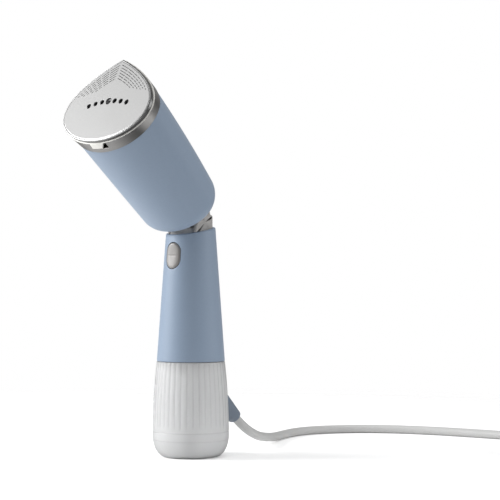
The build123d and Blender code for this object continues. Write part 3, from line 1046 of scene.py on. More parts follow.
    def plug(self) -> Piece:
        """Makes the plug: a turned body with grip grooves and a ribbed boot, along -Y.

        Returns:
            The piece.
        """
        low, high = span("plug_body")
        x, z, start = (low[0] + high[0]) / 2, (low[2] + high[2]) / 2, high[1]
        count, grip_at, grip_long = 72, 47.0, 7.0
        ribs = np.linspace(0, 1, 45)
        boot_r = 4.5 + 3.2 * ribs + 0.55 * np.cos(ribs * 10 * math.pi) ** 2
        boot = np.stack([boot_r, 1 + 24 * ribs], -1)
        body = np.array([(8.4, 26.0), (10.6, 26.4), (12.2, 28.0), (15.6, 36.0), (17.5, 40.0), (18.3, 43.5)])
        front = np.array([(18.4, 58.0), (18.1, 59.6), (17.2, 60.6), (16.0, 61.0), (12.0, 61.0), (0.0, 61.0)])
        sides = np.stack([np.full(12, 18.45), np.linspace(44.0, 57.5, 12)], -1)
        profile = np.concatenate([[(0.0, 0.0), (4.4, 0.0), (4.9, 0.4)], boot, body, sides, front])
        shape = turned(profile, count)
        angle = around(count)[None, :]
        grip = np.exp(-(((profile[:, 1:] - grip_at) / grip_long) ** 2)) * (profile[:, :1] > 14)
        shrink = 1 - 0.10 * grip * np.abs(np.cos(angle)) ** 6 * (0.85 + 0.15 * np.cos(profile[:, 1:] * 2.6))
        across, up = shape[..., 0] * shrink, shape[..., 1] * shrink
        points = np.stack([x + across, start - shape[..., 2], z + up], -1)
        piece = make_piece("mains_plug", [grid(points)], [finish(Finish.PLUG)])
        return stand_for(piece, "handle", "plug_grey", "plug_body")

    def pins(self) -> Piece:
        """Makes the plug's two round pins, with sleeved roots and rounded tips.

        Returns:
            The piece.
        """
        low, high = span("plug_pins")
        radius = (high[2] - low[2]) / 2
        long = high[1] - low[1]
        core, sleeve_end = radius - 0.25, 9.6
        sleeve = [(0, -1.0), (radius, -1.0), (radius, sleeve_end - 0.2), (core, sleeve_end), (0, sleeve_end)]
        tip = [(0, 9.0), (core, 9.0), (core, long - 1.6), (radius - 0.7, long - 0.5), (radius - 1.5, long)]
        tip.append((0, long))
        patches = []
        for x in (low[0] + radius, high[0] - radius):
            for number, profile in enumerate((sleeve, tip)):
                shape = turned(np.array(profile), 32)
                across, up = x + shape[..., 0], low[2] + radius + shape[..., 1]
                points = np.stack([across, high[1] - shape[..., 2], up], -1)
                patches.append(grid(points, material=number))
        piece = make_piece("mains_pins", patches, [finish(Finish.BLACK), finish(Finish.BRIGHT)])
        return stand_for(piece, "handle", "pin_metal", "plug_pins")

    def build(self) -> None:
        cord, strap, plug, pins = self.cord(), self.tie(), self.plug(), self.pins()


# --- the studio ----------------------------------------------------------------------------------
@dataclass
class Studio:
    """The camera, the lights and the floor."""

    azimuth: float = 44.03
    distance: float = 1.238
    height: float = 0.1368
    picture: float = 500.0  # the picture's width, in the unit of the next three
    focal: float = 1547.5
    aside: float = 59.0  # the picture's middle is this far right of the handle's axis
    above: float = 34.5  # and this far above the camera's level
    sky: float = 0.245  # the strength of the even light from all sides
    glow: float = 0.25  # how much the floor adds to the light that the camera sees on it

    def camera(self) -> None:
        """Puts the camera at its distance, turned a little aside and up from the handle's axis."""
        a = math.radians(self.azimuth)
        back, right = np.array([math.sin(a), -math.cos(a), 0.0]), np.array([math.cos(a), math.sin(a), 0.0])
        looking = Vector(-self.focal * back + self.aside * right + np.array([0.0, 0.0, self.above]))
        data = bpy.data.cameras.new("camera")
        data.lens = data.sensor_width * looking.length / self.picture
        data.clip_start, data.clip_end = 0.05, 60.0
        seen = bpy.data.objects.new("camera", data)
        seen.location = Vector(back * self.distance) + Vector((0, 0, self.height))
        seen.rotation_mode = "QUATERNION"
        seen.rotation_quaternion = looking.to_track_quat("-Z", "Y")
        bpy.context.scene.collection.objects.link(seen)
        bpy.context.scene.camera = seen

    def light(self, name: str, azimuth: float, high: float, away: float, size: float, power: float) -> None:
        """Adds a square soft light that faces the steamer.

        Args:
            name: The light's name.
            azimuth: Where it stands, in degrees, as the camera's azimuth is given.
            high: Its angle above the floor, in degrees.
            away: Its distance.
            size: The length of its side.
            power: Its power in watts.
        """
        a, e = math.radians(azimuth), math.radians(high)
        towards = Vector((math.sin(a) * math.cos(e), -math.cos(a) * math.cos(e), math.sin(e)))
        data = bpy.data.lights.new(name, "AREA")
        data.size, data.energy = size, power
        lamp = bpy.data.objects.new(name, data)
        lamp.location = towards * away + Vector((0, 0, 0.15))
        lamp.rotation_mode = "QUATERNION"
        lamp.rotation_quaternion = towards.to_track_quat("Z", "Y")
        bpy.context.scene.collection.objects.link(lamp)

    def floor(self) -> None:
        """Lays a pale round floor, out to where it is lost in the light."""
        s = Surface("floor_paper")
        patch = s.effect(effects.handling, Scale=2.0).outputs["Mask"]
        s.set(Base_Color=s.blend(patch, rgba((0.93, 0.93, 0.93)), rgba((0.95, 0.95, 0.95))), Roughness=0.9)
        away = s.node("VectorMath", operation="LENGTH")
        s.join(s.place, away.inputs[0])
        s.set(Alpha=s.ramp(away.outputs["Value"], 0.35, 0.8, 1.0, 0.0), Emission_Color=rgba((1.0, 1.0, 1.0)))
        s.set(Emission_Strength=s.sums("MULTIPLY", s.node("LightPath").outputs["Is Camera Ray"], self.glow))
        disc = turned(np.array([(0.0, 0.0), (900.0, 0.0)]), 96)
        floor = make_piece("floor", [grid(disc)], [s.material])
        if floor.data.polygons[0].normal.z < 0:
            floor.data.flip_normals()

    def world(self) -> None:
        """Lights everything evenly, with a white background for the camera and through clear parts."""
        world = bpy.data.worlds.new("world")
        bpy.context.scene.world = world
        world.use_nodes = True
        w = Wiring(world.node_tree)
        sky, seen, mix = w.node("Background"), w.node("Background"), w.node("MixShader")
        for background, strength in ((sky, self.sky), (seen, 1.0)):
            w.put(background, "Color", (1.0, 1.0, 1.0, 1.0))
            w.put(background, "Strength", strength)
        rays = w.node("LightPath").outputs
        w.join(w.sums("MAXIMUM", rays["Is Camera Ray"], rays["Is Transmission Ray"]), mix.inputs[0])
        w.join(sky.outputs[0], mix.inputs[1])
        w.join(seen.outputs[0], mix.inputs[2])
        w.join(mix.outputs[0], w.node("OutputWorld").inputs["Surface"])

    def build(self) -> None:
        """Sets up the whole studio."""
        self.camera()
        self.floor()
        self.world()
        self.light("key", self.azimuth - 94, 20, 1.3, 0.7, 19.0)
        self.light("right", self.azimuth + 78, 15, 1.5, 0.9, 6.2)
        self.light("top", self.azimuth, 82, 1.6, 1.8, 16.0)
        bpy.context.scene.view_settings.view_transform = "Standard"


# --- the tank ------------------------------------------------------------------------------------
@dataclass
class Tank:
    """The lift-off water tank: a fluted translucent cup with a welded foot and a channel at its back."""

    foot_radius: float = 20.0
    belly_radius: float = 30.4
    belly_z: float = 17.6
    weld_z: float = 13.9
    top_radius: float = 27.15
    mouth_radius: float = 17.4
    wall: float = 2.2
    deck: float = 3.6
    flutes: int = 38
    flute_depth: float = 0.42
    flute_foot: float = 24.0
    channel_half: float = 10.6
    channel_y: float = 20.8
    channel_foot: float = 26.6
    mean_radius: float = 28.5
    band_z: float = 20.4  # a fine groove round the cup, above the weld
    band_half: float = 0.45
    band_deep: float = 0.30
    columns: int = 608

    def __post_init__(self) -> None:
        """Reads the tank's height from the frame."""
        self.top_z = span("water_tank")[1][2]

    def radius(self, z: Array) -> Array:
        """The tank's radius at a height.

        Below the belly it is a quarter ellipse up from the foot. Above, it is upright at the belly, and
        falls towards the top's radius with the square of the share of the height.

        Args:
            z: Heights.

        Returns:
            The radii.
        """
        low = np.sqrt(np.clip(1 - ((self.belly_z - z) / self.belly_z) ** 2, 0, 1))
        foot = self.foot_radius + (self.belly_radius - self.foot_radius) * low
        share = np.clip((z - self.belly_z) / (self.top_z - self.belly_z), 0, 1)
        side = self.belly_radius - (self.belly_radius - self.top_radius) * share**2
        return np.where(z < self.belly_z, foot, side)

    def channel(self, ring: Array, z: Array, shrink: float) -> Array:
        """Pushes the back of round sections in to the channel that the spine lies in.

        Args:
            ring: Rows by columns by 2, round sections.
            z: The rows' heights.
            shrink: 0 on the outer surface, the wall's thickness inside.

        Returns:
            The sections with the channel above its foot.
        """
        x, y = ring[..., 0], ring[..., 1]
        above = np.clip((z - (self.channel_foot - shrink)) / 0.5 + 0.5, 0, 1)[:, None]
        edge = np.clip((self.channel_half + shrink - np.abs(x)) / 0.5 + 0.5, 0, 1)
        floor = np.minimum(y, self.channel_y - shrink)
        return np.stack([x, np.where(y > 0, y + (floor - y) * above * edge, y)], -1)

    def angles(self) -> Array:
        """Angles of the columns, from the back round: even, with a few more at the channel's edges.

        Returns:
            The angles.
        """
        even = around(self.columns)
        edge = math.asin(self.channel_half / self.mean_radius)
        near = edge + np.array([-0.022, -0.016, -0.008, 0.0, 0.008, 0.016, 0.022])
        return np.unique(np.concatenate([even, near, 2 * math.pi - near]))

    def sections(self, z: Array, shrink: Array, depth: Array, angle: Array) -> Array:
        """Round sections of the tank's wall with its flutes and its channel.

        A flute is a groove whose depth follows the sixth power of a cosine of the angle times half
        the number of flutes.

        Args:
            z: The rows' heights.
            shrink: How far inside the outer surface each row is.
            depth: Each row's depth of flute.
            angle: The columns' angles.

        Returns:
            Rows by columns by 3.
        """
        groove = np.cos(angle * self.flutes / 2) ** 6
        r = (self.radius(z) - shrink)[:, None] - depth[:, None] * groove
        ring = np.stack([r * np.sin(angle), r * np.cos(angle)], -1)
        inner = shrink > self.wall / 2
        pushed = np.where(inner[:, None, None], self.channel(ring, z, self.wall), self.channel(ring, z, 0.0))
        return lift(pushed, np.broadcast_to(z[:, None], r.shape))

    def body(self) -> Piece:
        """Makes the cup above the weld: outside, deck, mouth and inside as one closed wall.

        Returns:
            The piece.
        """
        inwards, down = edge_turn(0.7, 6)
        small, drop = edge_turn(0.3, 4)
        foot = np.linspace(self.weld_z + 0.3, self.channel_foot - 0.6, 26)
        step = np.linspace(self.channel_foot - 0.5, self.channel_foot + 0.5, 9)
        side = np.linspace(self.channel_foot + 0.8, self.top_z - 0.7, 52)
        outer_z = np.concatenate([self.weld_z + drop[:-1], foot, step, side, self.top_z - down[::-1][1:]])
        band = self.band_deep * np.exp(-(((outer_z - self.band_z) / self.band_half) ** 2))
        shrink = np.interp(np.arange(len(outer_z)), np.arange(len(drop) - 1), small[:-1], right=0.0) + band
        shrink[-len(down) + 1 :] += inwards[::-1][1:]
        fade = np.clip((outer_z - self.flute_foot + 3.0) / 7.0, 0, 1)
        depth = self.flute_depth * fade * fade * (3 - 2 * fade)
        angle = self.angles()
        outside = self.sections(outer_z, shrink, depth, angle)
        inner_z = np.concatenate([
            np.linspace(self.top_z - self.deck, self.channel_foot - self.wall + 0.8, 24),
            np.linspace(self.channel_foot - self.wall + 0.5, self.channel_foot - self.wall - 0.5, 9),
            np.linspace(self.channel_foot - self.wall - 0.8, self.weld_z, 10),
        ])
        inside = self.sections(inner_z, np.full(len(inner_z), self.wall), 0 * inner_z, angle)
        lip, lip_down = edge_turn(0.5, 4)
        mouth_r = np.concatenate([self.mouth_radius + lip, [self.mouth_radius, self.mouth_radius]])
        mouth_z = self.top_z - np.concatenate([lip_down, [1.5, self.deck]])
        mouth = np.stack([
            mouth_r[:, None] * np.sin(angle), mouth_r[:, None] * np.cos(angle), mouth_z[:, None] + 0 * angle
        ], -1)
        rings = np.concatenate([outside, mouth, inside])
        piece = make_piece("fluted_tank", [grid(rings, rows_close=True)], [finish(FrostedTank())])
        return stand_for(piece, "tank", "tank_plastic", "water_tank")

    def base(self) -> Piece:
        """Makes the foot: a round cup that is welded under the tank, with a shallow hollow below.

        Returns:
            The piece.
        """
        small, drop = edge_turn(0.3, 4)
        arc = np.linspace(0, math.pi / 2, 24)
        bend_z = self.belly_z * (1 - np.cos(arc))
        outer_z = np.concatenate([bend_z[bend_z < self.weld_z - 0.35], (self.weld_z - drop[::-1])])
        outer_r = self.radius(outer_z)
        outer_r[-len(small) :] -= small[::-1]
        hollow = np.array([(0.0, 0.5), (14.0, 0.5), (15.5, 0.35), (16.5, 0.0), (19.2, 0.0)])
        inner_z = np.linspace(self.weld_z, self.wall + 0.1, 16)
        inner_r = self.radius(inner_z - self.wall * 0.6) - self.wall
        inner = np.concatenate([np.stack([inner_r, inner_z], -1), [(0.0, self.wall)]])
        profile = np.concatenate([hollow, np.stack([outer_r, outer_z], -1), inner])
        piece = make_piece("tank_foot", [grid(turned(profile, 192))], [finish(FrostedTank())])
        return stand_for(piece, "tank", "tank_plastic", "tank_base")

    def build(self) -> None:
        """Makes the tank's pieces."""
        self.body()
        self.base()


# --- the handle ----------------------------------------------------------------------------------
@dataclass
class Handle:
    """The tapered handle with its slanted rim, its button, the spine and gland behind it, the neck."""

    slope: float = 0.0709
    base_radius: float = 27.1
    rim_z: float = 180.0
    rim_slope: float = 0.18
    wall: float = 2.2
    button_z: float = 159.6
    button_tall: float = 20.6
    button_wide: float = 14.6
    gap: float = 0.4
    proud: float = 0.7
    columns: int = 192
    window: int = 20  # columns each side of the front that the ring round the button takes up

    def __post_init__(self) -> None:
        """Reads the handle's foot and the tilt joint's place from the frame."""
        self.base_z = span("handle_casing")[0][2]
        self.pivot_z = pivot_of("head_tilt")[2]

    def radius(self, z: Array) -> Array:
        """The handle's radius, which falls evenly with height."""
        return self.base_radius - self.slope * (z - self.base_z)

    def rim(self, angle: Array) -> Array:
        """The height of the slanted rim in a direction, found by a few rounds of substitution.

        Args:
            angle: Directions, 0 at the front.

        Returns:
            The heights.
        """
        z = np.full(np.shape(angle), self.rim_z)
        for _ in range(4):
            z = self.rim_z - self.rim_slope * self.radius(z) * np.cos(angle)
        return z

    def on_wall(self, angle: Array, z: Array, deep: Array | float) -> Array:
        """Points on the wall: angle 0 is the front, deep is how far below the outer surface."""
        r = self.radius(z) - deep
        return np.stack([r * np.sin(angle), -r * np.cos(angle), z + 0 * r], -1)

    def casing(self) -> Piece:
        """Makes the casing: a closed wall with rounded rims, and a ring of faces round the button's hole.

        Returns:
            The piece.
        """
        lows, tall, highs, first_row, last_row = 5, 72, 8, 44, 69
        low_in, low_down = edge_turn(0.45, lows)
        high_in, high_down = edge_turn(1.2, highs)
        sides, still = np.linspace(0, 1, tall), np.zeros(tall)
        share = np.concatenate([np.zeros(lows), sides, np.ones(highs + 1), sides[::-1], np.zeros(1)])
        nudge = np.interp(sides, [0, 1], [low_down[-1], -high_down[-1]])
        shift = np.concatenate([low_down, nudge, -high_down[::-1], [0.0], still, [0.0]])
        deep = np.concatenate([low_in, still, high_in[::-1], np.full(tall + 2, self.wall)])
        angle = (np.arange(self.columns) + 0.5) * 2 * math.pi / self.columns - math.pi
        z = self.base_z + share[:, None] * (self.rim(angle) - self.base_z) + shift[:, None]
        points = self.on_wall(angle[None, :] + 0 * z, z, deep[:, None])
        whole = grid(points, rows_close=True)
        first, last = self.columns // 2 - self.window, self.columns // 2 + self.window - 1
        inner_top = lows + 2 * tall + highs
        out_rows = (lows + first_row, lows + last_row)
        in_rows = (inner_top - last_row, inner_top - first_row)
        row, column = np.divmod(np.arange(len(whole.faces)), self.columns)
        tall_enough = np.any([(row >= low) & (row < high) for low, high in (out_rows, in_rows)], axis=0)
        whole.faces = whole.faces[~(tall_enough & (column >= first) & (column < last))]
        rings = self.hole_rings(angle, z, (first, last), out_rows, in_rows)
        piece = make_piece("handle_shell", [whole, grid(rings)], [finish(Finish.CASING)])
        return stand_for(piece, "handle", "casing_blue", "handle_casing")

    def hole_rings(self, angle: Array, z: Array, across: Pair, out: Pair, inn: Pair) -> Array:
        """The ring of faces between the wall's grid and the button's hole, outside, through and inside.

        Each ring is a blend from the grid's edge to the hole's outline, by arc length and height.

        Args:
            angle: The columns' angles.
            z: The rows' heights, by columns.
            across: The first and last column of the window.
            out: The outer surface's first and last row of the window.
            inn: The inner surface's first and last row of the window.

        Returns:
            Rings by count by 3.
        """
        (c0, c1), rings = across, []
        for (r0, r1), deep, shares in (
            (sorted(out), 0.0, np.linspace(0, 1, 9) ** 0.7),
            (sorted(inn, reverse=True), self.wall, np.linspace(1, 0, 9) ** 0.7),
        ):
            step = 1 if r1 > r0 else -1
            rows, cols = np.arange(r0, r1, step), np.arange(c0, c1)
            i = np.concatenate([np.full(len(cols), r0), rows, np.full(len(cols), r1), rows[::-1] + step])
            j = np.concatenate([cols, np.full(len(rows), c1), cols[::-1] + 1, np.full(len(rows), c0)])
            edge_a, edge_z = angle[j], z[i, j]
            away = np.arctan2(edge_z - self.button_z, edge_a * self.radius(edge_z))
            hole = slot_outline(self.button_wide / 2 + self.gap, self.button_tall / 2 + self.gap, away)
            hole_z = self.button_z + hole[:, 1]
            lip = 0.35 if deep == 0.0 else 0.0
            grown = hole * (1 + lip / self.button_wide)
            x_angle = np.arcsin(grown[:, 0] / (self.radius(hole_z) - deep))
            for s in shares:
                a = edge_a + (x_angle - edge_a) * s
                h = edge_z + (self.button_z + grown[:, 1] - edge_z) * s
                rings.append(self.on_wall(a, h, deep))
            if deep == 0.0:
                for turn in (0.5, 1.0):
                    wide = hole[:, 0] * (1 + (1 - turn) * lip * 0.3 / self.button_wide)
                    x_angle = np.arcsin(wide / (self.radius(hole_z) - lip * turn))
                    rings.append(self.on_wall(x_angle, hole_z, lip * turn))
        return np.stack(rings)

    def button(self) -> Piece:
        """Makes the button: an upright slot with a rounded edge, a thumb dish and a fine line across it.

        Returns:
            The piece.
        """
        edge, stem_top, stem_end = 1.5, -15.5, -17.5
        inwards, down = edge_turn(edge, 8)
        shares = np.concatenate([np.linspace(0, 0.9, 14), [1.0]])
        outline = slot_outline(self.button_wide / 2, self.button_tall / 2, around(96))
        rounded = inset(np.stack([outline] * 7), inwards[1:, None, None])
        flat = np.concatenate([inset(outline, edge)[None] * shares[:, None, None], rounded])
        fall = np.concatenate([np.zeros(15), down[1:]])
        x, up = flat[..., 0], flat[..., 1]
        dish = 0.42 * np.exp(-((x / 4.2) ** 2 + (up / 6.5) ** 2))
        dish += 0.10 * np.exp(-((up / 0.5) ** 2)) * (np.abs(x) < 5.6)
        r = self.radius(self.button_z + up) + self.proud
        y = -np.sqrt(r**2 - x**2) + fall[:, None] + dish
        face = np.stack([x, y, self.button_z + up], -1)
        sides = []
        for deep, grow in ((stem_end, 1.0), (stem_top, 1.0), (stem_top, 0.0)):
            ring = lift(outline * grow, deep)[:, [0, 2, 1]]
            sides.append(ring + (0, 0, self.button_z))
        piece = make_piece("steam_trigger", [grid(np.concatenate([face, sides]))], [finish(Finish.BUTTON)])
        return stand_for(piece, "button", "button_grey", "steam_button")

    def spine(self) -> Piece:
        """Makes the spine behind the tank: rounded sections between two heights, and its tongue.

        Each section is a box in the tank's channel whose back follows a circle of the tank's radius.

        Returns:
            The piece.
        """
        low, high = span("rear_spine")
        half, front = high[0], low[1]
        top = span("water_tank")[1][2]
        tank = Tank()
        across = superellipse(1.0, 1.0, 9.0, around(96))
        inwards, down = edge_turn(1.2, 6)
        z = np.concatenate([low[2] + down, np.linspace(low[2] + 1.6, top + 0.6, 40), [top + 0.95]])
        shrink = np.concatenate([inwards, np.zeros(40), [0.3]])
        x = across[None, :, 0] * (half - shrink[:, None])
        back = np.sqrt(tank.radius(np.minimum(z, top))[:, None] ** 2 - x**2) - shrink[:, None]
        share = (across[None, :, 1] + 1) / 2
        y = front + (back - front) * share
        rings = np.stack([x, y, np.broadcast_to(z[:, None], x.shape)], -1)
        rings = np.concatenate([pole(rings[0]), rings, pole(rings[-1])])
        half_wide, half_thick = 5.6, 0.85
        tongue = rounded_prism(superellipse(half_wide, half_thick, 8.0, around(48)), top - 1, high[2], 0.4)
        tongue += (0, front + half_thick, 0)
        piece = make_piece("lead_spine", [grid(rings), grid(tongue)], [finish(Finish.SPINE)])
        return stand_for(piece, "handle", "spine_blue", "rear_spine")

    def gland(self) -> Piece:
        """Makes the boot that the lead leaves by: a cone with a rounded end and a keel under it.

        A section at a distance back from the end is a circle above, and below it is drawn down to a
        narrower circle, so that the keel runs into the tank's foot.

        Returns:
            The piece.
        """
        end_y, end_z, lean = 52.3, 27.6, math.radians(40.0)
        end_r, root_r, long, keel_r, keel_z = 5.8, 8.2, 31.0, 4.6, 24.6
        root_y, face_y = 24.0, 30.9
        lip_in, lip_down = edge_turn(1.8, 7)
        bore = np.array([(3.9, 1.6), (3.8, 0.0)])
        back = np.concatenate([lip_down, np.linspace(2.4, long, 26)])
        radius = end_r + (root_r - end_r) * back / long
        radius[: len(lip_in)] -= lip_in
        radius, back = radius[:, None], back[:, None]
        angle = around(96)
        low = np.clip(-np.cos(angle), 0, 1)[None, :]
        soft, ease = np.clip(low * 6, 0, 1), np.clip(back / 6, 0, 1)
        drop = np.maximum((end_z + back * math.sin(lean) - keel_z) / math.cos(lean) - radius, 0)
        drop *= ease**2 * (3 - 2 * ease)
        width = radius + (np.minimum(keel_r, radius) - radius) * soft * np.clip(drop / 8, 0, 1)
        x = width * np.sin(angle)
        up = np.where(low > 0, width, radius) * np.cos(angle) - drop * soft
        along = -back + 0 * up
        y = end_y + along * math.cos(lean) + up * math.sin(lean)
        z = end_z - along * math.sin(lean) + up * math.cos(lean)
        hidden = y < face_y
        rings = np.stack([x, np.maximum(y, root_y), np.where(hidden, np.maximum(z, end_z), z)], -1)
        hole = np.stack([
            bore[:, :1] * np.sin(angle),
            end_y - bore[:, 1:] * math.cos(lean) + bore[:, :1] * np.cos(angle) * math.sin(lean),
            end_z + bore[:, 1:] * math.sin(lean) + bore[:, :1] * np.cos(angle) * math.cos(lean),
        ], -1)
        closed = np.concatenate([pole(hole[0]), hole, rings, pole(rings[-1])])
        piece = make_piece("lead_gland", [grid(closed)], [finish(Finish.SPINE)])
        return stand_for(piece, "handle", "spine_blue", "cord_gland")

    def knuckle(self) -> Piece:
        """Makes the neck's middle knuckle: a drum on a stalk, on a round foot inside the rim.

        Returns:
            The piece.
        """
        drum, half, stalk, front = 11.0, 4.6, 8.0, -11.7
        top = math.pi - math.asin(stalk / drum)
        arc = np.linspace(-top + math.pi / 2, top + math.pi / 2, 61)
        outline = np.concatenate([
            np.stack([drum * np.cos(arc), drum * np.sin(arc)], -1),
            np.stack([np.full(8, -stalk), np.linspace(-9.0, -19.4, 8)], -1),
            np.stack([np.linspace(-stalk + 1, stalk - 1, 9), np.full(9, -19.6)], -1),
            np.stack([np.full(8, stalk), np.linspace(-19.4, -9.0, 8)], -1),
        ])
        solid = rounded_prism(outline, -half, half, 0.9)
        drum_points = np.stack([solid[..., 2], solid[..., 0], self.pivot_z + solid[..., 1]], -1)
        foot = rounded_prism(superellipse(17.3, 17.3, 2.0, around(72)), 168.0, 172.0, 0.6)
        foot[..., 1] = np.maximum(foot[..., 1], front)
        piece = make_piece("neck_drum", [grid(drum_points), grid(foot)], [finish(Finish.NECK)])
        return stand_for(piece, "handle", "neck_grey", "neck_knuckle")

    def ears(self) -> list[Patch]:
        """Makes the neck's two outer ears, beside the fork: flat in front, where the head comes down.

        Returns:
            The two ears' patches.
        """
        inner, outer, drum, front, edge = 12.15, 15.6, 9.6, -11.4, 1.6
        foot, shoulder, flatness = 175.0, 179.0, 0.26
        arc = np.linspace(math.radians(8), math.radians(128), 34)
        back = np.stack([np.full(9, drum * math.cos(arc[0])), np.linspace(foot, self.pivot_z, 9)], -1)
        top = np.stack([drum * np.cos(arc), self.pivot_z + drum * np.sin(arc) * flatness], -1)
        slope = np.linspace(top[-1], (front, shoulder), 12)[1:]
        fall = np.stack([np.full(5, front), np.linspace(shoulder - 1.0, foot, 5)], -1)
        sole = np.stack([np.linspace(front, drum, 14)[1:-1], np.full(12, foot)], -1)
        outline = np.concatenate([back, top, slope, fall, sole])
        for _ in range(3):
            outline = (np.roll(outline, 1, axis=0) + 2 * outline + np.roll(outline, -1, axis=0)) / 4
        shape = rounded_prism(outline, inner, outer, edge)
        return [grid(np.stack([side * shape[..., 2], shape[..., 0], shape[..., 1]], -1)) for side in (-1, 1)]

    def bowl(self) -> Piece:
        """Makes the neck's cap: a domed disc that fills the slanted rim, with a brow in front.

        The brow follows the square of the chord through each point, times the sine of half a turn
        times a power of how far forward the point lies on its chord.

        Returns:
            The piece.
        """
        low = span("neck_cap")[0][2]
        edge, sink, gap, brow_height, dome_height = 1.0, 1.1, 0.15, 6.6, 0.5
        lip_in, lip_down = edge_turn(edge, 6)
        angle = around(144)
        edge_z = self.rim(angle) - sink
        edge_r = self.radius(edge_z) - self.wall - gap
        share = np.linspace(0.0, 1.0, 28)[:, None]
        flat_r = share * (edge_r - edge)
        across = np.sin(angle) * share
        chord = np.sqrt(np.maximum(1 - across**2, 1e-6))
        forward = np.clip(np.cos(angle) * share / chord, 0.0, 1.0)
        brow = brow_height * chord**2 * np.sin(math.pi * forward**1.9)
        dome = dome_height * (1 - share**2) + brow
        top_z = self.rim_z - sink - self.rim_slope * flat_r * np.cos(angle) + dome
        turned_r = edge_r - lip_in[:, None]
        side_z = edge_z - lip_down[:, None]
        foot_r = np.stack([edge_r, 0 * edge_r])
        foot_z = np.full((2, len(angle)), low)
        r = np.concatenate([flat_r, turned_r[1:], foot_r])
        z = np.concatenate([top_z, side_z[1:], foot_z])
        points = np.stack([r * np.sin(angle), -r * np.cos(angle), z], -1)
        # the cap's top takes the lighter copy of the neck's grey, painted light where the head shades it
        patches = [grid(points, material=1), *self.ears()]
        piece = make_piece("neck_bowl", patches, [finish(Finish.NECK), finish(Finish.NECK_PAINTED_LIGHT)])
        return stand_for(piece, "handle", "neck_grey", "neck_cap")

    def build(self) -> None:
        """Makes the handle's pieces."""
        self.casing()
        self.bowl()
        self.button()
        self.spine()
        self.gland()
        self.knuckle()


